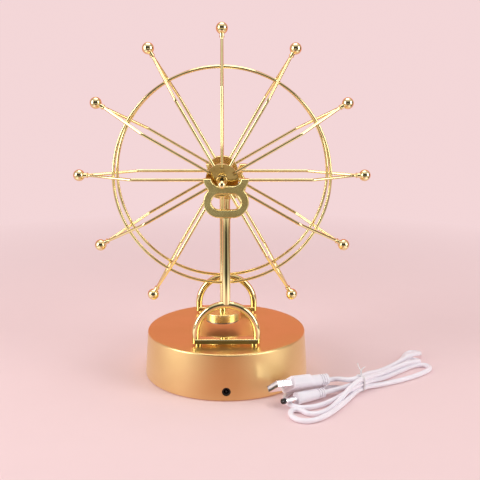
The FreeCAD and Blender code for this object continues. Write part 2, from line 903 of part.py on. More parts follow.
def hub_disc(label, side):
    """Disc with a boss, drilled round its rim for the arm wires and notched on its outer face."""
    facing = FACING_FRONT if side == FRONT else FACING_BACK
    piece = Piece(label, on_axle(side, d.hub_place), facing * FreeCAD.Rotation(V(0, 0, 1), ARM_STEP))
    half = d.hub_thickness / 2
    bore = d.axle_radius + d.fit_gap
    top = half + d.hub_boss_height
    piece.turned(piece.outline("XZ_Plane").loop(
        (bore, -half),
        (d.hub_radius - d.hub_edge, -half),
        (d.hub_radius, d.hub_edge - half),
        (d.hub_radius, half - d.hub_edge),
        (d.hub_radius - d.hub_edge, half),
        (d.hub_boss_radius, half),
        (d.hub_boss_radius, top - d.hub_boss_round),
        (d.hub_boss_radius - d.hub_boss_round, top, d.hub_boss_round, LEFT),
        (bore, top),
    ))
    rim_hole = piece.outline("XZ_Plane", d.hub_radius).circle(0, 0, d.wire_radius + d.fit_gap)
    first = piece.pocket(rim_hole, d.hub_bore_depth)
    piece.around([first], ARM_COUNT, ARM_STEP * (ARM_COUNT - 1))
    outer = d.hub_radius - d.notch_rim
    notch = piece.outline("XY_Plane", half).box(
        outer - d.notch_radial, outer, -d.notch_width / 2, d.notch_width / 2
    )
    first = piece.pocket(notch, d.notch_depth)
    piece.around([first], ARM_POSITIONS // 2)


def hub_sleeve():
    """Tube that spaces the two discs, with a thicker middle drilled from below for the pendulum."""
    piece = Piece("hub_sleeve", AXLE, FACING_FRONT)
    bore = d.axle_radius + d.fit_gap
    half = d.hub_place - d.hub_thickness / 2
    piece.turned(piece.outline("XZ_Plane").loop(
        (bore, -half),
        (d.sleeve_radius, -half),
        (d.sleeve_radius, -d.collar_half_length),
        (d.collar_radius, -d.collar_half_length),
        (d.collar_radius, d.collar_half_length),
        (d.sleeve_radius, d.collar_half_length),
        (d.sleeve_radius, half),
        (bore, half),
    ))
    socket = piece.outline("XZ_Plane", d.collar_radius).circle(0, 0, d.rod_radius + d.fit_gap)
    piece.pocket(socket, d.rod_socket + d.fit_gap)


# The arm wires run level from the hub, then slant in to meet at the ball
wire_tip_place = d.wire_radius + d.tip_gap / 2
wire_fall = d.hub_place - wire_tip_place
tip_kink_radius = d.kink_radius + d.wire_run
tip_end_radius = tip_kink_radius + d.tip_run
ball_place = tip_end_radius + d.ball_radius - d.ball_sink
ferrule_start = tip_kink_radius + d.ferrule_lead
wire_slant = Measure(
    math.degrees(math.atan2(wire_fall.value, d.wire_run.value)),
    f"atan({wire_fall.formula} / {d.wire_run.formula})",
)


def rim(label, side):
    """Wire ring that lies against the inside of the slanting arm wires."""
    inset = (d.wire_radius + d.rim_wire_radius + d.fit_gap) / cosine(wire_slant)
    place = d.hub_place - d.rim_run * tangent(wire_slant) - inset
    piece = Piece(label, on_axle(side, place), FACING_FRONT)
    piece.turned(piece.outline("XZ_Plane").circle(d.kink_radius + d.rim_run, 0, d.rim_wire_radius))


def arm_wire(label, side, number):
    """Bent wire from a hub disc to the ferrule of one ball."""
    turn = FreeCAD.Rotation(V(0, 0, 1), (number - (ARM_COUNT - 1) / 2) * -ARM_STEP)
    piece = Piece(label, AXLE, FACING_FRONT * turn)
    level = -side * d.hub_place
    end = -side * wire_tip_place
    start = d.hub_radius - d.hub_bore_depth + d.fit_gap
    first_set = d.kink_bend * tangent(wire_slant / 2)
    second_set = d.tip_bend * tangent(wire_slant / 2)
    sloped, level_run = sine(wire_slant), cosine(wire_slant)
    inward = RIGHT if side == FRONT else LEFT
    bends = piece.outline("YZ_Plane").path(
        (start, level),
        (d.kink_radius - first_set, level),
        (d.kink_radius + first_set * level_run, level + side * (first_set * sloped), d.kink_bend, inward),
        (tip_kink_radius - second_set * level_run, end - side * (second_set * sloped)),
        (tip_kink_radius + second_set, end, d.tip_bend, -inward),
        (tip_end_radius, end),
    )
    section = piece.outline("XZ_Plane", -start).circle(0, level, d.wire_radius)
    piece.pipe(section, bends)


def tip_balls():
    """Eleven balls, each with a flat ferrule crimped over its two wires."""
    piece = Piece("tip_balls", AXLE, FACING_FRONT * FreeCAD.Rotation(V(0, 0, 1), ARM_STEP), several=True)
    middle = -ball_place
    ball = piece.outline("XY_Plane").loop(
        (0, middle - d.ball_radius),
        (d.ball_radius, middle, d.ball_radius, LEFT),
        (0, middle + d.ball_radius, d.ball_radius, LEFT),
    )
    first = piece.turned(ball)
    wide = d.ferrule_width / 2
    deep = d.ferrule_depth / 2 - wide
    ferrule = piece.outline("XZ_Plane", ferrule_start).loop(
        (wide, -deep, wide, LEFT),
        (wide, deep),
        (0, deep + wide, wide, LEFT),
        (-wide, deep, wide, LEFT),
        (-wide, -deep),
        (0, -deep - wide, wide, LEFT),
    )
    second = piece.pad(ferrule, ball_place - ferrule_start)
    slot_wide = d.wire_radius + d.fit_gap
    slot = piece.outline("XZ_Plane", ferrule_start).loop(
        (slot_wide, -wire_tip_place, slot_wide, LEFT),
        (slot_wide, wire_tip_place),
        (0, wire_tip_place + slot_wide, slot_wide, LEFT),
        (-slot_wide, wire_tip_place, slot_wide, LEFT),
        (-slot_wide, -wire_tip_place),
        (0, -wire_tip_place - slot_wide, slot_wide, LEFT),
    )
    third = piece.pocket(slot, d.ferrule_slot, flip=True)
    piece.around([first, second, third], ARM_COUNT, ARM_STEP * (ARM_COUNT - 1))


def pendulum():
    """Rod, cup and magnet that hang below the axle, close over the coil."""
    magnet_low = base_top + d.magnet_gap
    cup_low = magnet_low + d.magnet_proud
    cup_top = cup_low + d.cup_height
    rod = Piece("pendulum_rod", (d.axle_shift, 0, cup_top - d.cup_wall))
    rod_top = axle_height - d.collar_radius + d.rod_socket
    length = rod_top - cup_top + d.cup_wall
    rod.pad(rod.outline("XY_Plane").circle(0, 0, d.rod_radius), length)
    rod.pad(rod.outline("XY_Plane", d.cup_wall).circle(0, 0, d.rod_nut_radius), d.rod_nut_height)
    cup = Piece("magnet_cup", (d.axle_shift, 0, cup_low))
    rounding = d.cup_round
    cup.turned(cup.outline("XZ_Plane").loop(
        (d.cup_radius - d.cup_wall, 0),
        (d.cup_radius, 0),
        (d.cup_radius, d.cup_height - rounding),
        (d.cup_radius - rounding, d.cup_height, rounding, LEFT),
        (d.rod_radius + d.fit_gap, d.cup_height),
        (d.rod_radius + d.fit_gap, d.cup_height - d.cup_wall),
        (d.cup_radius - d.cup_wall, d.cup_height - d.cup_wall),
    ))
    magnet = Piece("bob_magnet", (d.axle_shift, 0, magnet_low))
    thickness = d.magnet_proud + d.cup_height - d.cup_wall
    magnet.pad(magnet.outline("XY_Plane").circle(0, 0, d.magnet_radius), thickness)


def wheel():
    """Everything that turns on the axle."""
    axle()
    hub_sleeve()
    for side, name in ((FRONT, "front"), (REAR, "rear")):
        hub_disc(f"{name}_hub_disc", side)
        rim(f"{name}_rim", side)
        for number in range(ARM_COUNT):
            arm_wire(f"{name}_arm_wire_{number + 1:02d}", side, number)
    tip_balls()
    pendulum()


# Where the two plugs lie: the middle of the nose, and how it points back along the cable
USB_NOSE = V(30.0, -65.0, 13.6)
USB_TURN = FreeCAD.Rotation(32.5, 7.0, -37.2)
JACK_NOSE = V(36.0, -70.2, 5.4)
JACK_TURN = FreeCAD.Rotation(31.7, 2.6, 0.0)
LEAD_TIE = V(91.0, -40.5, 0.0)
LEAD_TIE_TURN = FreeCAD.Rotation(42.0, 0.0, 0.0)
ALONG_CABLE = FreeCAD.Rotation(V(0, 1, 0), 90)

# Route of the strand that passes below both plugs, chosen by hand
LOOP_ROUTE = (
    V(86.0, -43.6, 1.7),
    V(78.6, -50.4, 1.7),
    V(69.8, -60.6, 1.7),
    V(60.4, -68.6, 1.7),
    V(50.9, -72.3, 1.7),
    V(42.8, -69.6, 1.7),
    V(39.0, -61.8, 1.7),
    V(38.9, -52.6, 1.7),
    V(43.8, -45.0, 1.7),
    V(53.2, -40.6, 1.7),
    V(64.6, -38.9, 1.7),
    V(75.6, -39.4, 1.7),
    V(85.0, -42.2, 1.7),
)

# Outline of the tied hank on the surface, clockwise from its waist
HANK_OUTLINE = (
    V(97.4, -43.4, 0),
    V(86.6, -51.8, 0),
    V(79.6, -61.6, 0),
    V(70.9, -75.4, 0),
    V(61.0, -87.4, 0),
    V(50.6, -92.0, 0),
    V(42.4, -89.6, 0),
    V(38.4, -81.6, 0),
    V(40.6, -74.6, 0),
    V(49.6, -79.4, 0),
    V(57.6, -78.6, 0),
    V(66.4, -70.6, 0),
    V(75.0, -59.4, 0),
    V(81.6, -50.6, 0),
    V(86.0, -36.6, 0),
    V(93.6, -27.4, 0),
    V(106.6, -10.6, 0),
    V(124.8, 7.4, 0),
    V(137.6, 25.6, 0),
    V(143.6, 31.2, 0),
    V(147.6, 26.4, 0),
    V(145.6, 12.0, 0),
    V(149.6, 0.4, 0),
    V(146.4, -10.2, 0),
    V(134.6, -21.6, 0),
    V(121.6, -29.0, 0),
    V(107.6, -35.6, 0),
)


def along(nose, turn, distance):
    """A point behind a plug's nose, on its axis."""
    return nose + turn.multVec(V(float(distance), 0, 0))


def rounded_chain(points, closed=False):
    """Straight runs joined by tangent arcs, each as large as its two runs allow."""
    count = len(points)
    inner = range(count) if closed else range(1, count - 1)
    bends = {}
    for index in inner:
        before = points[index - 1] - points[index]
        after = points[(index + 1) % count] - points[index]
        half_turn = (math.pi - before.getAngle(after)) / 2
        reach = BEND_SHARE * min(before.Length, after.Length)
        towards = V(before).normalize() + V(after).normalize()
        depth = reach * (1 / math.cos(half_turn) - 1) / math.tan(half_turn)
        bends[index] = (
            points[index] + V(before).normalize() * reach,
            points[index] + towards.normalize() * depth,
            points[index] + V(after).normalize() * reach,
            reach / math.tan(half_turn),
        )
    edges = []
    last = bends[count - 1][2] if closed else points[0]
    for index in inner:
        start, middle, end, radius = bends[index]
        edges.append(Part.LineSegment(last, start).toShape())
        edges.append(Part.Arc(start, middle, end).toShape())
        last = end
    if not closed:
        edges.append(Part.LineSegment(last, points[-1]).toShape())
    return Part.Wire(edges), [bend[3] for bend in bends.values()]


def soft_solid(label, shape):
    """A cord's own plain solid, as one object of the document."""
    item = DOC.addObject("Part::Feature", label)
    item.Label = label
    item.Shape = shape
    below_axle = FreeCAD.Placement(V(-float(SHEET.axle_shift), 0, 0), UPRIGHT)
    item.Placement = below_axle.multiply(shape.Placement)
    Piece.made.append(item)


def cord_tube(label, points):
    """Round tube along a route, checked against its section times its length."""
    path, radii = rounded_chain(points)
    radius = float(SHEET.cable_radius)
    start = points[1] - points[0]
    ring = Part.Wire([Part.makeCircle(radius, points[0], start)])
    tube = path.makePipeShell([ring], True, False)
    expected = math.pi * radius ** 2 * path.Length
    if abs(tube.Volume - expected) > TUBE_TOLERANCE * expected:
        raise RuntimeError(f"{label}: volume {tube.Volume:.1f}, expected {expected:.1f}")
    print(f"{label}: {path.Length:.1f} long, radii {[round(bend, 1) for bend in radii]}")
    soft_solid(label, tube)


def usb_plug():
    """Folded steel shell, its contact tongue and the two-step moulded grip."""
    place = (USB_NOSE.x, USB_NOSE.y, USB_NOSE.z)
    facing = USB_TURN * ALONG_CABLE
    shell = Piece("usb_shell", place, facing)
    half_high, half_wide = d.shell_height / 2, d.shell_width / 2
    skin = shell.outline("XY_Plane").box(-half_high, half_high, -half_wide, half_wide, d.shell_round)
    shell.pad(skin, d.shell_length)
    wall = d.shell_wall
    inner_high, inner_wide = half_high - wall, half_wide - wall
    inside = shell.outline("XY_Plane").box(-inner_high, inner_high, -inner_wide, inner_wide)
    shell.pocket(inside, d.shell_length, flip=True)
    tongue = Piece("usb_tongue", place, facing)
    bar_side = half_wide - wall - d.slide_gap
    bar_low = wall + d.slide_gap - half_high
    bar = tongue.outline("XY_Plane", d.tongue_inset)
    bar.box(bar_low, bar_low + d.tongue_bar, -bar_side, bar_side)
    tongue.pad(bar, d.shell_length - d.tongue_inset)
    grip = Piece("usb_overmold", place, facing)
    section = grip.outline("XY_Plane", d.shell_length)
    section.box(-d.grip_height / 2, d.grip_height / 2, -d.grip_width / 2, d.grip_width / 2, d.grip_round)
    grip.pad(section, d.grip_length)
    neck = grip.outline("XY_Plane", d.shell_length + d.grip_length)
    neck.box(-d.neck_height / 2, d.neck_height / 2, -d.neck_width / 2, d.neck_width / 2, d.neck_round)
    grip.pad(neck, d.neck_length)
    end = d.shell_length + d.grip_length + d.neck_length
    for step in range(RELIEF_GROOVES):
        groove = grip.outline("XY_Plane", end - (step + 1) * d.relief_pitch)
        groove.box(-d.neck_height, d.neck_height, -d.neck_width, d.neck_width)
        keep_high, keep_wide = d.neck_height / 2 - d.relief_rib, d.neck_width / 2 - d.relief_rib
        groove.box(-keep_high, keep_high, -keep_wide, keep_wide, d.neck_round - d.relief_rib)
        grip.pocket(groove, d.relief_groove)
    return end


def barrel_plug():
    """Nickel barrel with its bore, in a tapered moulded grip."""
    place = (JACK_NOSE.x, JACK_NOSE.y, JACK_NOSE.z)
    facing = JACK_TURN * ALONG_CABLE
    barrel = Piece("dc_barrel", place, facing)
    barrel.turned(barrel.outline("XZ_Plane").loop(
        (d.barrel_bore_radius, 0),
        (d.barrel_radius, 0),
        (d.barrel_radius, d.barrel_length),
        (0, d.barrel_length),
        (0, d.barrel_bore_depth),
        (d.barrel_bore_radius, d.barrel_bore_depth),
    ))
    grip = Piece("dc_grip", place, facing)
    end = d.barrel_length + d.jack_grip_length
    taper = (d.jack_grip_radius - d.jack_grip_end) / d.jack_grip_length
    rib_start = end - RELIEF_GROOVES * d.relief_pitch
    profile = [(0, d.barrel_length), (d.jack_grip_radius, d.barrel_length)]
    for step in range(RELIEF_GROOVES):
        low = rib_start + step * d.relief_pitch
        high = low + d.relief_groove
        low_radius = d.jack_grip_end + taper * (end - low)
        high_radius = d.jack_grip_end + taper * (end - high)
        profile += [(low_radius, low), (low_radius - d.relief_rib, low)]
        profile += [(high_radius - d.relief_rib, high), (high_radius, high)]
    profile += [(d.jack_grip_end, end), (0, end)]
    grip.turned(grip.outline("XZ_Plane").loop(*profile))
    return end


def lead():
    """The charging lead: plugs, tails, the strand under the plugs and the tied hank."""
    usb_end = along(USB_NOSE, USB_TURN, usb_plug())
    jack_end = along(JACK_NOSE, JACK_TURN, barrel_plug())
    cord_tube("usb_tail", (
        usb_end,
        usb_end + USB_TURN.multVec(V(5.0, 0, 0)),
        V(77.6, -37.0, 7.6),
        V(83.2, -39.2, 7.8),
        V(87.6, -41.4, 8.0),
    ))
    cord_tube("dc_tail", (
        jack_end,
        jack_end + JACK_TURN.multVec(V(5.4, 0, 0)),
        V(74.8, -47.8, 4.4),
        V(80.6, -46.4, 5.0),
        V(86.2, -44.6, 5.4),
    ))
    cord_tube("lead_loop", LOOP_ROUTE)
    hank()


def centred_block(long, wide, high, low=0):
    """Block that stands over the origin."""
    return Part.makeBox(long, wide, high, V(-long / 2, -wide / 2, low))


def hank():
    """Outer shape of the tied hank, and the twist tie round its waist."""
    long, wide, high = float(SHEET.ridge_length), float(SHEET.ridge_width), float(SHEET.ridge_height)
    thick, width = float(SHEET.tie_thickness), float(SHEET.tie_width)
    ridge = centred_block(long, wide, high)
    upper = [edge for edge in ridge.Edges if edge.CenterOfMass.z > high / 2]
    ridge = ridge.makeFillet(float(SHEET.hank_round), upper)
    core = centred_block(width, wide, high - thick, thick)
    band = centred_block(width, wide + 2 * thick, high + thick).cut(core)
    waist = centred_block(width, float(SHEET.hank_waist), high).cut(core)
    for shape in (ridge, band, waist):
        shape.Placement = FreeCAD.Placement(LEAD_TIE, LEAD_TIE_TURN)
    outline, _ = rounded_chain(HANK_OUTLINE, closed=True)
    flat = Part.Face(outline).extrude(V(0, 0, float(SHEET.hank_height)))
    soft_solid("cable_hank", flat.fuse(ridge).removeSplitter().cut(waist).cut(band))
    soft_solid("cable_tie", band)


def check_all():
    """Stop if any object failed, or any piece has no sound solid."""
    for item in DOC.Objects:
        if "Invalid" in item.State or "Error" in item.State:
            raise RuntimeError(f"{item.Label}: {item.State}")
    for item in Piece.made:
        if item.Shape.isNull() or not item.Shape.isValid() or not item.Shape.Solids:
            raise RuntimeError(f"{item.Label}: no sound solid")


def main():
    """Build every piece, check them and write them out."""
    base_housing()
    bottom_cover()
    battery_door()
    head_low = d.foot_stand_off + d.screw_counterbore - d.screw_head_height
    screws(
        "cover_screws",
        corners(d.boss_place, d.boss_place),
        head_low,
        d.screw_head_height,
        cover_top + d.cover_screw_length - d.fit_gap,
    )
    rubber_feet()
    drive_coil()
    control_board()
    power_socket()
    battery_contacts()
    stand(FRONT, "front")
    stand(REAR, "rear")
    screws(
        "stand_screws",
        corners(d.pin_place, d.stand_place),
        under_top - d.screw_head_height,
        d.screw_head_height,
        base_top + d.pin_thread - d.fit_gap,
    )
    wheel()
    lead()
    DOC.recompute()
    check_all()
    os.makedirs("parts", exist_ok=True)
    for item in Piece.made:
        item.Shape.exportStep(f"parts/{item.Label}.step")
    print(f"{len(Piece.made)} pieces written")


main()
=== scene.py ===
"""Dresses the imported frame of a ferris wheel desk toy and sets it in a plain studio.

Lengths are in metres. Every piece is built where the frame puts it, so each object
stays at the origin with its place in its mesh.
"""

import logging
import math
from dataclasses import dataclass, field
from enum import Enum
from typing import Iterable, Sequence

import bmesh
import bpy
from mathutils import Matrix, Vector


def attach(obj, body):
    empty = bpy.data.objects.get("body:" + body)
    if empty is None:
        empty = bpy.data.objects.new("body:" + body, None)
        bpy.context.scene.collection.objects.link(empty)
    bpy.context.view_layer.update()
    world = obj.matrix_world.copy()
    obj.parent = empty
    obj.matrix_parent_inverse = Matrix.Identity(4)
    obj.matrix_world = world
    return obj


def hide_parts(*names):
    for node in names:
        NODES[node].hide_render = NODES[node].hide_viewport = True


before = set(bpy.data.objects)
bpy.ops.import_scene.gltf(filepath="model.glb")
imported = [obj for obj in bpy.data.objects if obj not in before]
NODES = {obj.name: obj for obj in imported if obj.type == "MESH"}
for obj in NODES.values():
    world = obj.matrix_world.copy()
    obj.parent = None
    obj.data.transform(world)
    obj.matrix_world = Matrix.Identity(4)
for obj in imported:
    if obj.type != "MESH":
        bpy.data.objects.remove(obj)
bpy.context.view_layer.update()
LOG = logging.getLogger("desk_toy")

Colour = tuple[float, float, float]
Point = tuple[float, float, float]
Span = tuple[float, float]
Socket = bpy.types.NodeSocket
Piece = bpy.types.Object

EVEN: Point = (1.0, 1.0, 1.0)
CREASE = math.radians(35)
SPLINE_ORDER = 3


class Metalness(Enum):
    """How much a finish behaves as bare metal."""

    PLASTIC = 0.0
    METAL = 1.0


class Detail(Enum):
    """How many finer layers a noise has."""

    PLAIN = 2.0
    USUAL = 3.0
    RICH = 4.0


class Nodes:
    """A node tree that is written with short calls."""

    def __init__(self, tree: bpy.types.NodeTree) -> None:
        """Keep the tree that is written to."""
        self.tree = tree

    def put(self, socket: Socket, value: object) -> None:
        """Give a socket a plain value or a link.

        Args:
            socket: the input to set.
            value: a number, a colour, a vector or another node's output.
        """
        if isinstance(value, Socket):
            self.tree.links.new(value, socket)
        elif isinstance(value, tuple) and len(value) == 3 and socket.type == "RGBA":
            socket.default_value = (*value, 1.0)
        else:
            socket.default_value = value

    def add(self, kind: str, out: int | str = 0, mode: dict | None = None, **inputs: object) -> Socket:
        """Add a node and return one of its outputs.

        Args:
            kind: the node's type.
            out: the name or number of the output to return.
            mode: the node's own settings.
            **inputs: values or links by input name, or in_0, in_1 for numbered inputs.

        Returns:
            The chosen output.
        """
        node = self.tree.nodes.new(kind)
        for setting, value in (mode or {}).items():
            setattr(node, setting, value)
        for name, value in inputs.items():
            socket = node.inputs[int(name[3:])] if name.startswith("in_") else node.inputs[name]
            self.put(socket, value)
        return node.outputs[out]

    def math(self, operation: str, *values: object) -> Socket:
        """Return the result of one Math node."""
        inputs = {f"in_{number}": value for number, value in enumerate(values)}
        return self.add("ShaderNodeMath", mode={"operation": operation}, **inputs)

    def product(self, first: object, second: object) -> Socket:
        """Return one value times another."""
        return self.math("MULTIPLY", first, second)

    def spread(self, value: object, low: float, high: float, start: float = 0.35, end: float = 0.65) -> Socket:
        """Return a value mapped from start and end to low and high, which it doesn't pass."""
        ends = {"From Min": start, "From Max": end, "To Min": low, "To Max": high}
        return self.add("ShaderNodeMapRange", Value=value, **ends)

    def band(self, value: object, low: float, high: float, soft: float) -> Socket:
        """Return 1 between two values and 0 outside them, with soft ends."""
        rise = self.spread(value, 0.0, 1.0, low, low + soft)
        return self.product(rise, self.spread(value, 1.0, 0.0, high - soft, high))

    def mix(self, share: object, first: object, second: object) -> Socket:
        """Return a value that goes from the first to the second as share goes from 0 to 1."""
        return self.add("ShaderNodeMix", 0, in_0=share, in_2=first, in_3=second)

    def blend(self, share: object, first: object, second: object) -> Socket:
        """Return a colour that goes from the first to the second as share goes from 0 to 1."""
        mode = {"data_type": "RGBA", "clamp_factor": True}
        return self.add("ShaderNodeMix", 2, mode, in_0=share, in_6=first, in_7=second)

    def axis(self, vector: object, name: str) -> Socket:
        """Return one component of a vector, by its letter."""
        return self.add("ShaderNodeSeparateXYZ", name, Vector=vector)


class Recipe(Nodes):
    """One material's node tree, with short names for the nodes that finishes share."""

    def __init__(self, name: str) -> None:
        """Start an empty recipe around a Principled shader.

        Args:
            name: the material's name.
        """
        self.material = bpy.data.materials.new(name)
        self.material.use_nodes = True
        super().__init__(self.material.node_tree)
        self.surface = self.tree.nodes["Principled BSDF"]
        coordinates = self.tree.nodes.new("ShaderNodeTexCoord")
        self.place = coordinates.outputs["Object"]
        self.facing = self.tree.nodes.new("ShaderNodeNewGeometry").outputs["Normal"]

    def stretched(self, stretch: Point) -> Socket:
        """Return object coordinates scaled along each axis."""
        return self.add("ShaderNodeMapping", Vector=self.place, Scale=stretch)

    def noise(self, scale: float, detail: Detail = Detail.USUAL, stretch: Point = EVEN) -> Socket:
        """Return a noise on object coordinates, about 0.5 on average, with scale features per metre."""
        place = self.stretched(stretch)
        return self.add("ShaderNodeTexNoise", "Fac", Vector=place, Scale=scale, Detail=detail.value)

    def bump(self, height: object, depth: float) -> None:
        """Drive the surface's normal by a height, whose full step is that many metres deep."""
        normal = self.add("ShaderNodeBump", Height=height, Distance=depth, Strength=1.0)
        self.put(self.surface.inputs["Normal"], normal)

    def mottled(self, value: object, tone: Colour, shade: Colour) -> Socket:
        """Return a colour that wanders between two tones as a noise does."""
        return self.blend(self.spread(value, 0.0, 1.0), tone, shade)

    def finish(self, **inputs: object) -> bpy.types.Material:
        """Set the shader's own sockets and return the material.

        Args:
            **inputs: values by socket name, with underscores for spaces.

        Returns:
            The finished material.
        """
        for name, value in inputs.items():
            self.put(self.surface.inputs[name.replace("_", " ")], value)
        return self.material


@dataclass(frozen=True)
class Plating:
    """A plated or polished metal with mottled tone, fine wipe marks and dulled patches."""

    name: str
    tone: Colour
    shade: Colour
    gloss: float
    dulled: float
    patch: float = 90.0
    wipe: float = 900.0
    wipe_stretch: Point = (1.0, 1.0, 6.0)
    wipe_depth: float = 0.000002
    wear: Span = (0.15, 0.4)

    def material(self) -> bpy.types.Material:
        """Build the material.

        Returns:
            A metal whose roughness goes from gloss to dulled where patches and wipes meet.
        """
        recipe = Recipe(self.name)
        patches = recipe.noise(self.patch, Detail.RICH)
        wipes = recipe.noise(self.wipe, Detail.PLAIN, self.wipe_stretch)
        mixed = recipe.product(patches, wipes)
        recipe.bump(wipes, self.wipe_depth)
        return recipe.finish(
            Base_Color=recipe.mottled(patches, self.tone, self.shade),
            Metallic=Metalness.METAL.value,
            Roughness=recipe.spread(mixed, self.gloss, self.dulled, *self.wear),
        )


@dataclass(frozen=True)
class DrumLacquer:
    """Satin gold on the drum's wall, with a glossier top whose slightly warmer tone is a painted reflection of
    the pink backdrop.
    """

    name: str
    wall: Colour
    wall_shade: Colour
    top: Colour
    top_shade: Colour
    top_height: float
    ring: float = 240.0
    ring_stretch: Point = (0.25, 0.25, 8.0)
    cloud: float = 34.0
    grain: float = 5200.0
    top_edge: float = 0.0006
    top_facing: Span = (0.8, 0.97)
    wall_roughness: Span = (0.29, 0.40)
    top_roughness: Span = (0.28, 0.36)
    grain_share: float = 0.5
    top_relief: float = 0.06
    relief_depth: float = 0.000012

    def material(self) -> bpy.types.Material:
        """Build the material.

        Returns:
            A metal whose top is told from its wall by height and by which way it faces.
        """
        recipe = Recipe(self.name)
        rings = recipe.noise(self.ring, Detail.RICH, self.ring_stretch)
        clouds = recipe.noise(self.cloud)
        grain = recipe.noise(self.grain, Detail.PLAIN)
        wall = recipe.mottled(clouds, self.wall, self.wall_shade)
        # The top's slightly warmer tone is a painted reflection of the pink backdrop.
        top = recipe.mottled(clouds, self.top, self.top_shade)
        up = recipe.spread(recipe.axis(recipe.facing, "Z"), 0.0, 1.0, *self.top_facing)
        edge = (self.top_height - self.top_edge, self.top_height)
        share = recipe.product(up, recipe.spread(recipe.axis(recipe.place, "Z"), 0.0, 1.0, *edge))
        matt, shine = recipe.spread(rings, *self.wall_roughness), recipe.spread(clouds, *self.top_roughness)
        relief = recipe.math("ADD", rings, recipe.product(grain, self.grain_share))
        relief = recipe.product(relief, recipe.spread(share, 1.0, self.top_relief, 0.0, 1.0))
        recipe.bump(relief, self.relief_depth)
        return recipe.finish(
            Base_Color=recipe.blend(share, wall, top),
            Metallic=Metalness.METAL.value,
            Roughness=recipe.mix(share, matt, shine),
        )


@dataclass(frozen=True)
class MouldedPlastic:
    """Plastic or rubber with a fine moulded grain and slight unevenness in its tone."""

    name: str
    tone: Colour
    shade: Colour
    roughness: float
    grain: float = 2600.0
    depth: float = 0.00002
    coat: float = 0.0
    glow: float = 0.0
    cloud: float = 120.0
    smoother: float = 0.06
    rougher: float = 0.08
    glow_depth: Point = (0.002, 0.0018, 0.0018)

    def material(self) -> bpy.types.Material:
        """Build the material.

        Returns:
            A plastic whose roughness varies with its grain.
        """
        recipe = Recipe(self.name)
        clouds = recipe.noise(self.cloud)
        grain = recipe.noise(self.grain)
        recipe.bump(grain, self.depth)
        return recipe.finish(
            Base_Color=recipe.mottled(clouds, self.tone, self.shade),
            Metallic=Metalness.PLASTIC.value,
            Roughness=recipe.spread(grain, self.roughness - self.smoother, self.roughness + self.rougher),
            Coat_Weight=self.coat,
            Subsurface_Weight=self.glow,
            Subsurface_Radius=self.glow_depth,
        )


class Paint(Enum):
    """Every finish on the toy."""

    GOLD = Plating("bright_gold_plating", (0.92, 0.79, 0.42), (0.86, 0.71, 0.34), 0.03, 0.1, wipe_depth=6e-7)
    BALL_GOLD = Plating(
        "ball_gold_plating", (0.93, 0.79, 0.45), (0.87, 0.71, 0.37), 0.03, 0.09, wipe_depth=1e-6
    )
    CRADLE = Plating(
        "cast_cradle_gold", (0.98, 0.87, 0.42), (0.84, 0.67, 0.28), 0.24, 0.36, 85.0, 1100.0, EVEN, 0.000008
    )
    # A darker copy of the gold for the front hub disc: its darkness is painted shade for the disc's mirror
    # face.
    SHADED_HUB = Plating("hub_gold_painted_shade", (0.72, 0.51, 0.21), (0.60, 0.40, 0.14), 0.09, 0.18, 150.0, 1200.0, EVEN)
    SATIN = Plating("satin_gold", (0.95, 0.80, 0.40), (0.89, 0.72, 0.33), 0.26, 0.38, 120.0, 1200.0, EVEN)
    DRUM = DrumLacquer(
        "drum_lacquer",
        (0.86, 0.62, 0.29),
        (0.82, 0.58, 0.26),
        # The top's tones: the drum's gold with a painted reflection of the pink backdrop.
        (0.85, 0.625, 0.27),
        (0.81, 0.585, 0.24),
        0.0312,
    )
    NICKEL = Plating("nickel_plating", (0.95, 0.94, 0.95), (0.87, 0.86, 0.88), 0.2, 0.23, wipe_depth=1e-7)
    MAGNET = Plating("magnet_nickel", (0.34, 0.33, 0.41), (0.28, 0.27, 0.34), 0.34, 0.46)
    SCREW = Plating("zinc_screw", (0.56, 0.56, 0.58), (0.45, 0.45, 0.46), 0.22, 0.4)
    COPPER = Plating("enamelled_copper", (0.70, 0.28, 0.12), (0.60, 0.22, 0.09), 0.16, 0.3)
    BLACK = MouldedPlastic(
        "black_textured_plastic", (0.03, 0.03, 0.032), (0.04, 0.04, 0.043), 0.55, depth=0.00004
    )
    BOARD = MouldedPlastic("solder_mask_green", (0.02, 0.13, 0.05), (0.015, 0.1, 0.04), 0.3, coat=0.4)
    RUBBER = MouldedPlastic("foot_rubber", (0.03, 0.03, 0.03), (0.045, 0.045, 0.045), 0.75, 1800.0, 0.00005)
    INSULATOR = MouldedPlastic("white_insulator", (0.84, 0.84, 0.84), (0.78, 0.78, 0.79), 0.35, depth=0.00001)
    # The real black insulator of the socket and barrel tip, made darker than the other black plastic: partly
    # painted shade in the socket's recess.
    JACK_BLACK = MouldedPlastic(
        "jack_insulator", (0.008, 0.006, 0.007), (0.012, 0.009, 0.01), 0.6, depth=0.00001
    )
    CABLE = MouldedPlastic(
        "white_cable_sheath", (0.96, 0.91, 0.98), (0.93, 0.88, 0.95), 0.34, 1500.0, 0.000015, 0.1, 0.12
    )
    GRIP = MouldedPlastic(
        "white_plug_grip", (0.96, 0.91, 0.97), (0.92, 0.88, 0.94), 0.42, 3000.0, 0.00003, 0.0, 0.12
    )
    TIE = MouldedPlastic("clear_tie", (0.88, 0.87, 0.88), (0.82, 0.81, 0.83), 0.22, 900.0, 0.00003, 0.4, 0.2)


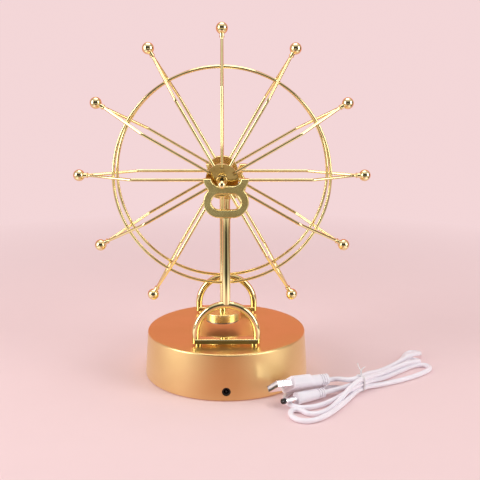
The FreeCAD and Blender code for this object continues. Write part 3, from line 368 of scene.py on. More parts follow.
class Finishes:
    """Gives pieces their materials, building each finish once."""

    def __init__(self) -> None:
        """Start with no material built."""
        self.built: dict[Paint, bpy.types.Material] = {}

    def of(self, paint: Paint) -> bpy.types.Material:
        """Look up the material of a finish, and build it the first time.

        Args:
            paint: the finish.

        Returns:
            Its material.
        """
        if paint not in self.built:
            self.built[paint] = paint.value.material()
        return self.built[paint]

    def dress(self, piece: Piece, paint: Paint) -> None:
        """Put a finish on the whole of a piece."""
        piece.data.materials.clear()
        piece.data.materials.append(self.of(paint))

    def dress_nodes(self, paint: Paint, *names: str) -> None:
        """Put a finish on nodes of the frame.

        Args:
            paint: the finish.
            *names: the nodes' names.
        """
        for name in names:
            node = NODES[name]
            for slot in node.material_slots:
                slot.material = self.of(paint)
            LOG.info("%s wears %s", name, paint.name.lower())


def adopt(piece: Piece, body: str) -> None:
    """Make a piece ride on a body, and log which body carries it.

    Args:
        piece: the finished piece.
        body: the body that carries it.
    """
    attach(piece, body)
    LOG.info("piece %s on %s", piece.name, body)


def linked(name: str, data: bpy.types.ID) -> Piece:
    """Link a new object to the scene.

    Args:
        name: the object's name.
        data: its mesh, curve, lamp or camera.

    Returns:
        The object, at the origin.
    """
    piece = bpy.data.objects.new(name, data)
    bpy.context.scene.collection.objects.link(piece)
    return piece


class Growth(Nodes):
    """A Geometry Nodes tree that grows repeated detail and freezes it into a plain mesh."""

    KINDS = {int: "NodeSocketInt", float: "NodeSocketFloat", tuple: "NodeSocketVector"}
    WIRE_SIDES = 6

    def __init__(self, name: str) -> None:
        """Start an empty tree.

        Args:
            name: the name of the piece that it grows.
        """
        super().__init__(bpy.data.node_groups.new(name, "GeometryNodeTree"))
        self.name = name
        self.tree.interface.new_socket("Geometry", in_out="OUTPUT", socket_type="NodeSocketGeometry")
        self.entry = self.tree.nodes.new("NodeGroupInput")
        self.exit = self.tree.nodes.new("NodeGroupOutput")
        self.values: dict[str, int | float | Point] = {}

    def size(self, name: str, value: int | float | Point) -> Socket:
        """Add a named input and return its socket.

        Args:
            name: the input's name.
            value: its value for this piece.

        Returns:
            The socket that carries the value.
        """
        socket = self.tree.interface.new_socket(name, in_out="INPUT", socket_type=self.KINDS[type(value)])
        self.values[socket.identifier] = value
        return self.entry.outputs[name]

    def moved(self, geometry: object, place: Point, turn: Point = (0.0, 0.0, 0.0)) -> Socket:
        """Return geometry that is turned, then moved."""
        return self.add("GeometryNodeTransform", Geometry=geometry, Translation=place, Rotation=turn)

    def round(self, radius: object) -> Socket:
        """Return the round section of a thin wire."""
        return self.add("GeometryNodeCurvePrimitiveCircle", Resolution=self.WIRE_SIDES, Radius=radius)

    def joined(self, *parts: Socket) -> Socket:
        """Join geometries.

        Args:
            *parts: the outputs to join.

        Returns:
            The parts as one geometry.
        """
        node = self.tree.nodes.new("GeometryNodeJoinGeometry")
        for part in parts:
            self.tree.links.new(part, node.inputs[0])
        return node.outputs[0]

    def freeze(self, geometry: Socket, material: bpy.types.Material) -> Piece:
        """Grow the geometry once and keep it as a plain mesh.

        Args:
            geometry: what the tree puts out.
            material: the finish of the whole piece.

        Returns:
            The frozen piece.
        """
        real = self.add("GeometryNodeRealizeInstances", Geometry=geometry)
        painted = self.add("GeometryNodeSetMaterial", Geometry=real, Material=material)
        self.tree.links.new(painted, self.exit.inputs["Geometry"])
        piece = linked(self.name, bpy.data.meshes.new(self.name))
        modifier = piece.modifiers.new("growth", "NODES")
        modifier.node_group = self.tree
        for identifier, value in self.values.items():
            modifier[identifier] = value
        grown = piece.evaluated_get(bpy.context.evaluated_depsgraph_get())
        mesh = bpy.data.meshes.new_from_object(grown)
        piece.modifiers.remove(modifier)
        piece.data = mesh
        LOG.info("%s grown with %d faces", self.name, len(mesh.polygons))
        return piece


def turned(name: str, profile: Sequence[tuple[float, float]], steps: int = 32) -> Piece:
    """Turn a closed profile about the X axis.

    Args:
        name: the piece's name.
        profile: its corners, each as a distance along X and a radius.
        steps: how many flats make the round.

    Returns:
        The turned piece, smooth but for its corners.
    """
    shape = bmesh.new()
    rings = []
    for step in range(steps):
        angle = 2 * math.pi * step / steps
        rings.append([shape.verts.new((x, r * math.cos(angle), r * math.sin(angle))) for x, r in profile])
    for near, far in zip(rings, rings[1:] + rings[:1]):
        for i in range(len(profile)):
            j = (i + 1) % len(profile)
            shape.faces.new((near[i], near[j], far[j], far[i]))
    bmesh.ops.recalc_face_normals(shape, faces=shape.faces)
    mesh = bpy.data.meshes.new(name)
    shape.to_mesh(mesh)
    shape.free()
    mesh.shade_smooth()
    mesh.set_sharp_from_angle(angle=CREASE)
    return linked(name, mesh)


def tube(name: str, radius: float, paths: Iterable[Sequence[Point]], facets: int, steps: int) -> Piece:
    """Lay round tubes along smooth paths, as one curve.

    Args:
        name: the piece's name.
        radius: the tubes' radius.
        paths: the control points that each tube follows.
        facets: how finely the tube is made round.
        steps: how finely its path is divided between two points.

    Returns:
        The curve.
    """
    curve = bpy.data.curves.new(name, "CURVE")
    curve.dimensions = "3D"
    curve.bevel_depth = radius
    curve.bevel_resolution = facets
    curve.resolution_u = steps
    curve.use_fill_caps = True
    for path in paths:
        spline = curve.splines.new("NURBS")
        spline.points.add(len(path) - 1)
        for control, place in zip(spline.points, path):
            control.co = (*place, 1.0)
        spline.order_u = SPLINE_ORDER
        spline.use_endpoint_u = True
    return linked(name, curve)


def wires(name: str, radius: float, paths: Iterable[Sequence[Point]]) -> Piece:
    """Bend thin round wires along smooth paths, as one plain mesh.

    Args:
        name: the piece's name.
        radius: the wires' radius.
        paths: the points that each wire follows.

    Returns:
        The piece.
    """
    bent = tube(name, radius, paths, facets=2, steps=3)
    mesh = bpy.data.meshes.new_from_object(bent.evaluated_get(bpy.context.evaluated_depsgraph_get()))
    bpy.data.objects.remove(bent)
    mesh.shade_smooth()
    return linked(name, mesh)


@dataclass(frozen=True)
class Pose:
    """Where a piece of the lead lies, and how it is turned, in degrees."""

    nose: Point
    yaw: float
    pitch: float = 0.0
    roll: float = 0.0

    def settle(self, piece: Piece) -> None:
        """Move a piece's mesh to where it lies.

        Args:
            piece: a piece whose mesh has X along the lead and Z up.
        """
        place = Matrix.Translation(self.nose)
        for angle, axis in ((self.yaw, "Z"), (self.pitch, "Y"), (self.roll, "X")):
            place = place @ Matrix.Rotation(math.radians(angle), 4, axis)
        piece.data.transform(place)


@dataclass
class TwistTie:
    """A thin coated wire wound twice round the hank, with its two ends twisted together."""

    pose: Pose = Pose((0.09375, -0.0405, 0.0), 42.0)
    radius: float = 0.00034
    half_width: float = 0.0039
    low: float = 0.00038
    high: float = 0.01115
    turns: int = 2
    turn_steps: int = 24
    roundness: float = 0.55
    ends: Span = (97.0, 83.0)
    drift: float = 0.0015
    knot: Point = (0.0, -0.0003, 0.0113)
    twist_height: float = 0.0034
    twist_radius: float = 0.0004
    twist_steps: int = 12
    twist_angle: float = 3 * math.pi
    tails: tuple[Point, Point] = ((-0.0004, 0.0028, 0.0046), (0.0026, -0.0012, 0.0022))
    tail_sag: tuple[Span, ...] = ((0.3, 0.0004), (0.6, 0.0007), (1.0, 0.0))

    def wound(self) -> list[Point]:
        """Wind the wire round the hank.

        Returns:
            Its points, on a rounded box that drifts along the hank.
        """
        middle, half_height = (self.low + self.high) / 2, (self.high - self.low) / 2
        first, last = self.ends
        count = self.turn_steps * self.turns
        points = []
        for step in range(count + 1):
            share = step / count
            angle = math.radians(first + share * (last + 360.0 * self.turns - first))
            across, up = math.cos(angle), math.sin(angle)
            points.append((
                self.drift * (share - 0.5),
                self.half_width * math.copysign(abs(across) ** self.roundness, across),
                middle + half_height * math.copysign(abs(up) ** self.roundness, up),
            ))
        return points

    def twisted(self, phase: float, tail: Point) -> list[Point]:
        """Twist one end up from the knot, then lead it out along its tail.

        Args:
            phase: the angle at which the twist starts.
            tail: where the tail's end lies from the top of the twist.

        Returns:
            The end's points.
        """
        x, y, z = self.knot
        swing = self.twist_radius
        points = []
        for step in range(self.twist_steps + 1):
            share = step / self.twist_steps
            angle = phase + share * self.twist_angle
            swung = (x + swing * math.cos(angle), y + swing * math.sin(angle))
            points.append((*swung, z + share * self.twist_height))
        z += self.twist_height
        for share, sag in self.tail_sag:
            points.append((x + share * tail[0], y + share * tail[1] + sag, z + share * tail[2]))
        return points

    def build(self, finishes: Finishes) -> Piece:
        """Build the tie and return it.

        Args:
            finishes: where its material comes from.

        Returns:
            The tie, which stands for the plain band in the frame.
        """
        first_tail, second_tail = self.tails
        start = self.twisted(0.0, first_tail)[::-1]
        end = self.twisted(math.pi, second_tail)
        tie = wires("twist_tie", self.radius, [start + self.wound() + end])
        self.pose.settle(tie)
        finishes.dress(tie, Paint.TIE)
        adopt(tie, "root")
        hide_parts("cable_tie")
        return tie


@dataclass
class PlugTrim:
    """Small trim on the two plugs: gold contact strips and the barrel's black tip."""

    usb: Pose = Pose((0.03275, -0.065, 0.0136), 32.5, 7.0, -37.2)
    barrel: Pose = Pose((0.03875, -0.0702, 0.0054), 31.7, 2.6)
    strips: int = 4
    strip: Point = (0.0072, 0.001, 0.00016)
    strip_pitch: float = 0.0023
    strip_place: Point = (0.0051, 0.0, -0.00016)
    mouth: tuple[Span, ...] = (
        (-0.00008, 0.00078), (-0.00008, 0.00165), (0.0001, 0.00184), (0.0023, 0.00184), (0.0024, 0.00176),
        (0.0024, 0.0017), (0.0001, 0.0017), (0.0001, 0.00078),
    )

    def contacts(self, finishes: Finishes) -> Piece:
        """Grow the contact strips on the tongue's lower face.

        Args:
            finishes: where their material comes from.

        Returns:
            The strips as one piece.
        """
        growth = Growth("usb_contacts")
        pitch = growth.size("Pitch", (0.0, self.strip_pitch, 0.0))
        x, y, z = self.strip_place
        start = (x, y - self.strip_pitch * (self.strips - 1) / 2, z)
        row = growth.add("GeometryNodeMeshLine", Count=growth.size("Strips", self.strips), Offset=pitch)
        row = growth.moved(row, start)
        bar = growth.add("GeometryNodeMeshCube", in_0=growth.size("Strip", self.strip))
        grown = growth.add("GeometryNodeInstanceOnPoints", Points=row, Instance=bar)
        strips = growth.freeze(grown, finishes.of(Paint.BALL_GOLD))
        self.usb.settle(strips)
        return strips

    def tip(self, finishes: Finishes) -> Piece:
        """Turn the black insulator that rims the barrel's mouth.

        Args:
            finishes: where its material comes from.

        Returns:
            The ring.
        """
        ring = turned("barrel_tip", self.mouth)
        self.barrel.settle(ring)
        finishes.dress(ring, Paint.JACK_BLACK)
        return ring

    def build(self, finishes: Finishes) -> list[Piece]:
        """Build the trim.

        Args:
            finishes: where its materials come from.

        Returns:
            The pieces that go with the cord.
        """
        strips, tip = self.contacts(finishes), self.tip(finishes)
        adopt(strips, "root")
        adopt(tip, "root")
        return [strips, tip]


@dataclass
class Lead:
    """The white lead: its cable in a tied hank, its two plugs and its tie."""

    diameter: float = 0.0034
    facets: int = 6
    steps: int = 8
    length: float = 0.82
    exit: Point = (0.06725, -0.0526, 0.0039)

    def route(self) -> list[Point]:
        """List the places that the cable passes.

        Returns:
            Its control points, from the barrel plug to the USB plug.
        """
        return [
            (0.06725, -0.0526, 0.0039), (0.07185, -0.0498, 0.0037), (0.07795, -0.0470, 0.0042),
            (0.08355, -0.0454, 0.0050), (0.08885, -0.0425, 0.0057), (0.09625, -0.0359, 0.0057),
            (0.10105, -0.0295, 0.0046), (0.10925, -0.0221, 0.0024), (0.11755, -0.0135, 0.0017),
            (0.12565, -0.0046, 0.0017), (0.13155, 0.0036, 0.0017), (0.13465, 0.0103, 0.0017),
            (0.13975, 0.0138, 0.0017), (0.14545, 0.0097, 0.0022), (0.14315, 0.0035, 0.0040),
            (0.13605, -0.0007, 0.0050), (0.12795, -0.0068, 0.0049), (0.11915, -0.0149, 0.0048),
            (0.11095, -0.0237, 0.0056), (0.10395, -0.0322, 0.0076), (0.09865, -0.0385, 0.0091),
            (0.09125, -0.0451, 0.0091), (0.08395, -0.0530, 0.0062), (0.07615, -0.0634, 0.0024),
            (0.06835, -0.0750, 0.0017), (0.06075, -0.0814, 0.0017), (0.05415, -0.0808, 0.0017),
            (0.05015, -0.0742, 0.0017), (0.04395, -0.0748, 0.0017), (0.04315, -0.0836, 0.0017),
            (0.04775, -0.0906, 0.0017), (0.05515, -0.0918, 0.0017), (0.06435, -0.0854, 0.0017),
            (0.07255, -0.0750, 0.0017), (0.08015, -0.0634, 0.0017), (0.08615, -0.0530, 0.0018),
            (0.09125, -0.0451, 0.0023), (0.09865, -0.0385, 0.0023), (0.10815, -0.0346, 0.0018),
            (0.12215, -0.0276, 0.0017), (0.13535, -0.0194, 0.0017), (0.14535, -0.0110, 0.0017),
            (0.15115, -0.0034, 0.0017), (0.14775, 0.0030, 0.0017), (0.13935, 0.0014, 0.0017),
            (0.12885, -0.0077, 0.0017), (0.12005, -0.0158, 0.0017), (0.11185, -0.0246, 0.0023),
            (0.10345, -0.0332, 0.0046), (0.09865, -0.0385, 0.0057), (0.09125, -0.0451, 0.0057),
            (0.08335, -0.0508, 0.0034), (0.07255, -0.0606, 0.0017), (0.06315, -0.0686, 0.0017),
            (0.05365, -0.0723, 0.0017), (0.04555, -0.0696, 0.0017), (0.04175, -0.0618, 0.0017),
            (0.04165, -0.0526, 0.0017), (0.04655, -0.0450, 0.0017), (0.05595, -0.0406, 0.0017),
            (0.06735, -0.0389, 0.0017), (0.07915, -0.0388, 0.0017), (0.08885, -0.0425, 0.0023),
            (0.09625, -0.0359, 0.0023), (0.10005, -0.0285, 0.0020), (0.10685, -0.0199, 0.0017),
            (0.11495, -0.0110, 0.0017), (0.12295, -0.0020, 0.0017), (0.12995, 0.0079, 0.0017),
            (0.13495, 0.0169, 0.0017), (0.13835, 0.0248, 0.0017), (0.14325, 0.0291, 0.0018),
            (0.14985, 0.0229, 0.0030), (0.14455, 0.0174, 0.0047), (0.13805, 0.0112, 0.0058),
            (0.13155, 0.0036, 0.0053), (0.12485, -0.0038, 0.0048), (0.11655, -0.0124, 0.0048),
            (0.10865, -0.0215, 0.0060), (0.10135, -0.0298, 0.0084), (0.09625, -0.0359, 0.0091),
            (0.08885, -0.0425, 0.0091), (0.08455, -0.0428, 0.0089), (0.07915, -0.0392, 0.0082),
            (0.07415, -0.0386, 0.0076), (0.06955, -0.0415, 0.0082),
        ]

    def build(self, finishes: Finishes) -> None:
        """Build the lead.

        Args:
            finishes: where its materials come from.
        """
        cable = tube("white_cable", self.diameter / 2, [self.route()], self.facets, self.steps)
        finishes.dress(cable, Paint.CABLE)
        finishes.dress_nodes(Paint.GRIP, "usb_overmold", "dc_grip")
        finishes.dress_nodes(Paint.NICKEL, "usb_shell", "dc_barrel")
        finishes.dress_nodes(Paint.INSULATOR, "usb_tongue")
        adopt(cable, "root")
        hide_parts("usb_tail", "dc_tail", "lead_loop", "cable_hank")
        trim = PlugTrim().build(finishes)
        tie = TwistTie().build(finishes)


@dataclass(frozen=True)
class Lamp:
    """An oblong soft lamp, with its width and height, its power in watts and its colour."""

    name: str
    place: Point
    sides: Span
    power: float
    tone: Colour

    def hang(self, aim: Point) -> None:
        """Hang the lamp.

        Args:
            aim: the point it faces.
        """
        data = bpy.data.lights.new(self.name, "AREA")
        data.shape = "RECTANGLE"
        data.size, data.size_y = self.sides
        data.energy = self.power
        data.color = self.tone
        lamp = linked(self.name, data)
        lamp.location = self.place
        lamp.rotation_euler = (Vector(aim) - Vector(self.place)).to_track_quat("-Z", "Y").to_euler()


@dataclass
class Paper:
    """The pale paper of the floor and backdrop, and what polished metal mirrors of it.

    Its part near the toy is lit by the lamps, and farther off it glows evenly instead. Wherever it is
    mirrored it glows as a painted reflection that only glossy rays see: deeper pink behind the toy,
    redder right in front of the drum, paler towards the camera, where it fades out, brighter than
    white beside the line of sight, a painted highlight, and dim in a few places, which paints the
    metal's dark lines. Spans are in metres from the toy's middle, across it or along the line of sight.
    """

    tone: Colour = (0.92, 0.69, 0.70)
    # Painted reflection tints, seen only by glossy rays.
    near_mirrored_tint: Colour = (0.92, 0.47, 0.38)
    deep_mirrored_tint: Colour = (0.95, 0.37, 0.27)
    front_mirrored_tint: Colour = (0.90, 0.81, 0.65)
    sheen_tone: Colour = (1.0, 0.97, 0.95)
    fibre: float = 60.0
    fibre_shade: float = 0.985
    roughness: float = 0.75
    glow: float = 0.98
    lit_reach: Span = (0.22, 0.6)
    camera_glow: float = 0.58
    camera_fade: Span = (-0.75, -0.6)
    back_glow: float = 0.9
    back_fade: Span = (0.0, 0.4)
    front_band: Point = (-0.64, -0.24, 0.06)
    front_shadow: float = 0.9
    front_wedge: Span = (0.35, 0.85)
    ring_band: Point = (0.27, 0.6, 0.06)
    ring_shadow: float = 0.6
    ring_fade: Span = (-0.1, 0.05)
    side_shadow: float = 0.75
    side_fade: Span = (0.22, 0.3)
    side_slope: Span = (0.16, 0.32)
    near_band: Point = (-0.3, 0.0, 0.1)
    near_width: Span = (0.02, 0.1)
    near_shadow: float = 0.12
    sheen_band: Point = (-0.58, 0.0, 0.05)
    sheen_sides: Point = (0.09, 0.4, 0.08)
    sheen_gain: float = 1.4
    deep_fade: Span = (0.05, 0.35)
    front_fade: Span = (-0.4, -0.2)
    least: float = 0.01

    def material(self) -> bpy.types.Material:
        """Build the paper's material.

        Returns:
            The material, lit near the toy and glowing elsewhere.
        """
        recipe = Recipe("pale_paper_and_painted_reflection")
        shade = tuple(self.fibre_shade * part for part in self.tone)
        colour = recipe.blend(recipe.noise(self.fibre), self.tone, shade)
        recipe.finish(Base_Color=colour, Roughness=self.roughness)
        across, along = recipe.axis(recipe.place, "X"), recipe.axis(recipe.place, "Y")
        reach = recipe.add("ShaderNodeVectorMath", "Value", {"operation": "LENGTH"}, in_0=recipe.place)
        off_middle = recipe.math("ABSOLUTE", across)
        beside = recipe.spread(off_middle, 1.0, 0.0, *self.near_width)
        near = recipe.product(recipe.band(along, *self.near_band), beside)
        sides = recipe.band(off_middle, *self.sheen_sides)
        sheen = recipe.product(recipe.band(along, *self.sheen_band), sides)
        rays = recipe.tree.nodes.new("ShaderNodeLightPath")
        glossy, seen = rays.outputs["Is Glossy Ray"], rays.outputs["Is Camera Ray"]
        away = recipe.product(seen, recipe.spread(reach, 0.0, 1.0, *self.lit_reach))
        # For glossy rays the glow's strength and tint are a painted reflection; camera rays see the plain
        # paper.
        strength = recipe.mix(glossy, 1.0, self.mirrored(recipe, across, along, reach, near, sheen))
        tone = self.tone
        # Painted reflection tints, blended in only for glossy rays.
        for share, colour in (
            (near, self.near_mirrored_tint),
            (recipe.spread(along, 0.0, 1.0, *self.deep_fade), self.deep_mirrored_tint),
            (recipe.spread(along, 1.0, 0.0, *self.front_fade), self.front_mirrored_tint),
            (sheen, self.sheen_tone),
        ):
            tone = recipe.blend(recipe.product(glossy, share), tone, colour)
        glow = recipe.add("ShaderNodeEmission", Color=tone, Strength=recipe.product(strength, self.glow))
        share, lit = recipe.math("MAXIMUM", glossy, away), recipe.surface.outputs["BSDF"]
        mixed = recipe.add("ShaderNodeMixShader", in_0=share, in_1=lit, in_2=glow)
        recipe.tree.links.new(mixed, recipe.tree.nodes["Material Output"].inputs["Surface"])
        return recipe.material

    def mirrored(
        self, recipe: Recipe, across: Socket, along: Socket, reach: Socket, near: Socket, sheen: Socket
    ) -> Socket:
        """Work out how strongly metal mirrors each place of the paper, a painted reflection that only glossy
        rays see.

        Args:
            recipe: the recipe to write to.
            across: the place's distance to the right of the middle.
            along: its distance behind the middle.
            reach: its distance from the middle.
            near: where the paper lies right in front of the drum.
            sheen: where it lies beside the line of sight.

        Returns:
            The strength.
        """
        off_middle, off_line = recipe.math("ABSOLUTE", across), recipe.math("ABSOLUTE", along)
        wedge = recipe.math("DIVIDE", off_middle, recipe.math("MAXIMUM", off_line, self.least))
        slope = recipe.math("DIVIDE", off_line, recipe.math("MAXIMUM", across, self.least))
        aside = recipe.spread(across, 0.0, self.side_shadow, *self.side_fade)
        front = recipe.spread(wedge, self.front_shadow, 0.0, *self.front_wedge)
        behind = recipe.spread(along, self.ring_shadow, 0.0, *self.ring_fade)
        shadows = (
            (recipe.band(along, *self.front_band), front),
            (recipe.band(reach, *self.ring_band), behind),
            (recipe.spread(slope, 1.0, 0.0, *self.side_slope), aside),
            (near, self.near_shadow),
        )
        strength = recipe.product(
            recipe.spread(along, self.camera_glow, 1.0, *self.camera_fade),
            recipe.spread(along, 1.0, self.back_glow, *self.back_fade),
        )
        for place, depth in shadows:
            strength = recipe.product(strength, recipe.math("SUBTRACT", 1.0, recipe.product(place, depth)))
        return recipe.product(strength, recipe.spread(sheen, 1.0, self.sheen_gain, 0.0, 1.0))


@dataclass
class Studio:
    """A pale floor and backdrop, soft lamps and the camera."""

    lens: float = 62.29
    sensor: float = 36.0
    near_clip: float = 0.01
    eye: Point = (0.004176, -0.56803, 0.22548)
    yaw: float = 0.0144
    pitch: float = 0.2239
    roll: float = -0.0024
    floor_reach: float = 2.6
    wall_place: float = 1.5
    sweep: float = 0.5
    sweep_steps: int = 8
    paper: Paper = field(default_factory=Paper)
    middle: Point = (0.0, 0.0, 0.1)
    lamps: tuple[Lamp, ...] = (
        Lamp("key_lamp", (-0.92, -0.42, 0.42), (0.42, 0.8), 7.0, (1.0, 0.99, 0.98)),
        Lamp("fill_lamp", (0.92, -0.46, 0.42), (0.5, 0.8), 5.3, (0.98, 1.0, 0.98)),
        Lamp("top_lamp", (0.0, 0.12, 1.0), (0.6, 0.5), 3.0, (1.0, 0.99, 0.97)),
    )
    air_tone: Colour = (0.93, 0.90, 0.90)
    dim: float = 0.06
    bright: float = 0.5
    camera_side: Span = (-0.8, -0.4)
    right_dim: float = 0.15
    right_side: Span = (0.9, 0.97)
    # Overhead glow for glossy rays only: a painted reflection.
    overhead: float = 0.85
    overhead_rise: Span = (0.55, 0.8)

    def camera(self) -> None:
        """Place the camera at the photograph's angle."""
        flat, fall = math.cos(self.pitch), math.sin(self.pitch)
        ahead = Vector((math.sin(self.yaw) * flat, math.cos(self.yaw) * flat, -fall))
        right = Vector((math.cos(self.yaw), -math.sin(self.yaw), 0.0))
        down = ahead.cross(right)
        across = math.cos(self.roll) * right + math.sin(self.roll) * down
        up = math.sin(self.roll) * right - math.cos(self.roll) * down
        data = bpy.data.cameras.new("camera")
        data.lens = self.lens
        data.sensor_width = self.sensor
        data.clip_start = self.near_clip
        camera = linked("camera", data)
        turn = Matrix((across, up, -ahead)).transposed()
        camera.matrix_world = Matrix.Translation(self.eye) @ turn.to_4x4()
        bpy.context.scene.camera = camera

    def floor(self) -> None:
        """Build the floor, which curves up into the backdrop."""
        mesh = bpy.data.meshes.new("studio_floor")
        foot = self.wall_place - self.sweep
        profile = [(-self.floor_reach, 0.0), (foot, 0.0)]
        for step in range(1, self.sweep_steps + 1):
            angle = step / self.sweep_steps * math.pi / 2
            profile.append((foot + self.sweep * math.sin(angle), self.sweep - self.sweep * math.cos(angle)))
        profile.append((self.wall_place, self.floor_reach))
        corners = [(side * self.floor_reach, y, z) for y, z in profile for side in (-1, 1)]
        faces = [(2 * i, 2 * i + 1, 2 * i + 3, 2 * i + 2) for i in range(len(profile) - 1)]
        mesh.from_pydata(corners, [], faces)
        mesh.shade_smooth()
        mesh.materials.append(self.paper.material())
        linked("studio_floor", mesh)

    def air(self) -> None:
        """Surround the toy with a room that is bright at its sides and dim behind the camera, and glows
        overhead for glossy rays only, a painted reflection.
        """
        world = bpy.data.worlds.new("studio_air")
        world.use_nodes = True
        bpy.context.scene.world = world
        sky = Nodes(world.node_tree)
        direction = sky.add("ShaderNodeTexCoord", "Generated")
        glossy = sky.add("ShaderNodeLightPath", "Is Glossy Ray")
        seen = sky.add("ShaderNodeLightPath", "Is Camera Ray")
        level = sky.spread(sky.axis(direction, "Y"), self.dim, self.bright, *self.camera_side)
        right = sky.spread(sky.axis(direction, "X"), 1.0, self.right_dim, *self.right_side)
        # Overhead brightness seen only by glossy rays: a painted reflection.
        rise = sky.spread(sky.axis(direction, "Z"), 0.0, self.overhead, *self.overhead_rise)
        level = sky.math("MAXIMUM", sky.product(level, right), sky.product(glossy, rise))
        background = world.node_tree.nodes["Background"]
        sky.put(background.inputs["Color"], sky.blend(seen, self.air_tone, self.paper.tone))
        sky.put(background.inputs["Strength"], sky.math("MAXIMUM", level, seen))

    def build(self) -> None:
        """Set up the whole studio."""
        self.camera()
        self.floor()
        for lamp in self.lamps:
            lamp.hang(self.middle)
        self.air()
        bpy.context.scene.view_settings.view_transform = "Standard"


@dataclass
class Stand:
    """The drum with what is in it, and the two legs that carry the wheel."""

    coil_radius: float = 0.01358
    coil_foot: float = 0.0222
    coil_pitch: float = 0.00045
    coil_rows: int = 13
    coil_wire: float = 0.00021
    coil_steps: int = 40

    def coil_turns(self, finishes: Finishes) -> Piece:
        """Grow the outer turns of the drive coil as one long spiral of wire.

        Args:
            finishes: where their material comes from.

        Returns:
            The turns as one piece.
        """
        growth = Growth("coil_turns")
        rows = growth.size("Rows", self.coil_rows)
        radii = {"Start Radius": self.coil_radius, "End Radius": self.coil_radius}
        height = growth.product(rows, growth.size("Pitch", self.coil_pitch))
        spiral = growth.add(
            "GeometryNodeCurveSpiral", Resolution=self.coil_steps, Rotations=rows, Height=height, **radii
        )
        section = growth.round(growth.size("Wire", self.coil_wire))
        turns = growth.add("GeometryNodeCurveToMesh", Curve=spiral, in_1=section, **{"Fill Caps": True})
        turns = growth.add("GeometryNodeSetShadeSmooth", Geometry=turns)
        return growth.freeze(growth.moved(turns, (0.0, 0.0, self.coil_foot)), finishes.of(Paint.COPPER))

    def build(self, finishes: Finishes) -> None:
        """Dress the stand's nodes and grow the coil's turns.

        Args:
            finishes: where its materials come from.
        """
        adopt(self.coil_turns(finishes), "root")
        finishes.dress_nodes(Paint.DRUM, "base_housing")
        finishes.dress_nodes(Paint.BLACK, "bottom_cover", "battery_door", "coil_bobbin")
        # The socket's extra-dark black is partly painted shade in its recess.
        finishes.dress_nodes(Paint.JACK_BLACK, "dc_socket")
        finishes.dress_nodes(Paint.RUBBER, "rubber_feet")
        finishes.dress_nodes(Paint.SCREW, "cover_screws", "stand_screws")
        finishes.dress_nodes(Paint.COPPER, "coil_winding")
        finishes.dress_nodes(Paint.BOARD, "control_board")
        finishes.dress_nodes(Paint.NICKEL, "battery_contacts")
        finishes.dress_nodes(Paint.GOLD, "front_arch", "rear_arch", "front_post", "rear_post")
        finishes.dress_nodes(Paint.CRADLE, "front_yoke", "rear_yoke")


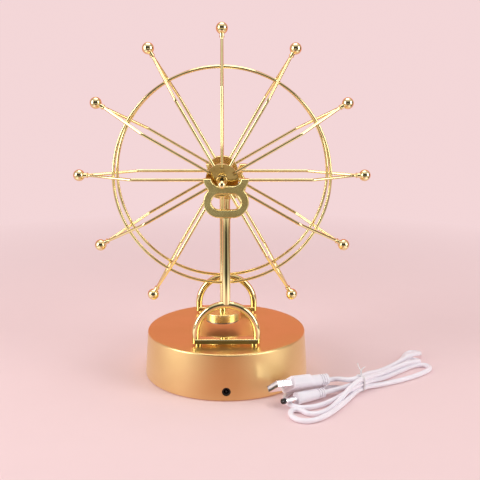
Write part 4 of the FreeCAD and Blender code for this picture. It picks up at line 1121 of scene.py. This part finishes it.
@dataclass
class Wheel:
    """The spoked wheel with its balls and pendulum."""

    axle_height: float = 0.14185
    positions: int = 12
    bottom: int = 9
    weld_radius: float = 0.0741
    weld_place: float = 0.01135
    weld_size: Point = (0.0011, 0.0016, 0.0009)
    lip_radius: float = 0.0927
    lip_size: Point = (0.0008, 0.00335, 0.00515)
    lip_inset: float = 0.0005
    lip_round: float = 0.4
    lip_steps: int = 4

    def ring(self, growth: Growth, radius: float, shape: Socket) -> Socket:
        """Set a shape at every arm, in the plane of the wheel, with its X along the arm.

        Args:
            growth: the tree to write to.
            radius: how far the shapes stand from the axle.
            shape: what stands there.

        Returns:
            The instances, flat in XY about the origin.
        """
        count = growth.size("Positions", self.positions)
        circle = growth.add("GeometryNodeMeshCircle", Vertices=count, Radius=growth.size("Radius", radius))
        number = growth.add("GeometryNodeInputIndex")
        below = growth.add(
            "FunctionNodeCompare", mode={"data_type": "INT", "operation": "EQUAL"}, in_2=number,
            in_3=growth.size("Empty place", self.bottom),
        )
        turn = growth.product(number, growth.math("DIVIDE", 2 * math.pi, count))
        turn = growth.add("ShaderNodeCombineXYZ", Z=turn)
        keep = growth.math("SUBTRACT", 1.0, below)
        return growth.add(
            "GeometryNodeInstanceOnPoints", Points=circle, Selection=keep, Instance=shape, Rotation=turn
        )

    def upright(self, growth: Growth, flat: Socket, place: float) -> Socket:
        """Stand a flat ring up around the axle, at a place along it."""
        return growth.moved(flat, (0.0, place, self.axle_height), (math.pi / 2, 0.0, 0.0))

    def welds(self, finishes: Finishes) -> Piece:
        """Grow the small solder fillets where the arm wires cross the rims.

        Args:
            finishes: where their material comes from.

        Returns:
            The fillets as one piece.
        """
        growth = Growth("rim_welds")
        bead = growth.add("GeometryNodeMeshIcoSphere", Subdivisions=2, Radius=1.0)
        bead = growth.add("GeometryNodeTransform", Geometry=bead, Scale=growth.size("Bead", self.weld_size))
        bead = growth.add("GeometryNodeSetShadeSmooth", Geometry=bead)
        flat = self.ring(growth, self.weld_radius, bead)
        pair = growth.joined(*(self.upright(growth, flat, side * self.weld_place) for side in (-1, 1)))
        return growth.freeze(pair, finishes.of(Paint.GOLD))

    def lips(self, finishes: Finishes) -> Piece:
        """Grow the rolled lip at the inner end of each crimped ferrule.

        Args:
            finishes: where their material comes from.

        Returns:
            The lips as one piece.
        """
        growth = Growth("ferrule_lips")
        thick, wide, deep = self.lip_size
        outline = growth.add(
            "GeometryNodeCurvePrimitiveQuadrilateral",
            mode={"mode": "RECTANGLE"},
            Width=wide - self.lip_inset,
            Height=deep - self.lip_inset,
        )
        outline = growth.add(
            "GeometryNodeFilletCurve",
            mode={"mode": "POLY"},
            Curve=outline,
            Count=self.lip_steps,
            Radius=wide * self.lip_round,
        )
        lip = growth.add("GeometryNodeCurveToMesh", Curve=outline, in_1=growth.round(thick / 2))
        lip = growth.moved(lip, (0.0, 0.0, 0.0), (math.pi / 2, 0.0, math.pi / 2))
        lip = growth.add("GeometryNodeSetShadeSmooth", Geometry=lip)
        flat = self.ring(growth, self.lip_radius, lip)
        return growth.freeze(self.upright(growth, flat, 0.0), finishes.of(Paint.BALL_GOLD))

    def build(self, finishes: Finishes) -> None:
        """Dress the wheel's nodes and grow its small parts.

        Args:
            finishes: where its materials come from.
        """
        for piece in (self.welds(finishes), self.lips(finishes)):
            adopt(piece, "wheel")
        arms = [name for name in NODES if "_arm_wire_" in name]
        finishes.dress_nodes(Paint.GOLD, "axle", "hub_sleeve", "front_rim", "rear_rim", "pendulum_rod", *arms)
        finishes.dress_nodes(Paint.BALL_GOLD, "axle_knobs", "tip_balls")
        # The front hub disc wears a darker gold than the rear one: painted shade.
        finishes.dress_nodes(Paint.SHADED_HUB, "front_hub_disc")
        finishes.dress_nodes(Paint.CRADLE, "rear_hub_disc")
        finishes.dress_nodes(Paint.SATIN, "magnet_cup")
        finishes.dress_nodes(Paint.MAGNET, "bob_magnet")


def main() -> None:
    """Build the studio and every sub-assembly."""
    logging.basicConfig(level=logging.INFO, format="%(name)s: %(message)s")
    Studio().build()
    finishes = Finishes()
    Lead().build(finishes)
    Stand().build(finishes)
    Wheel().build(finishes)


if __name__ == "__main__":
    main()
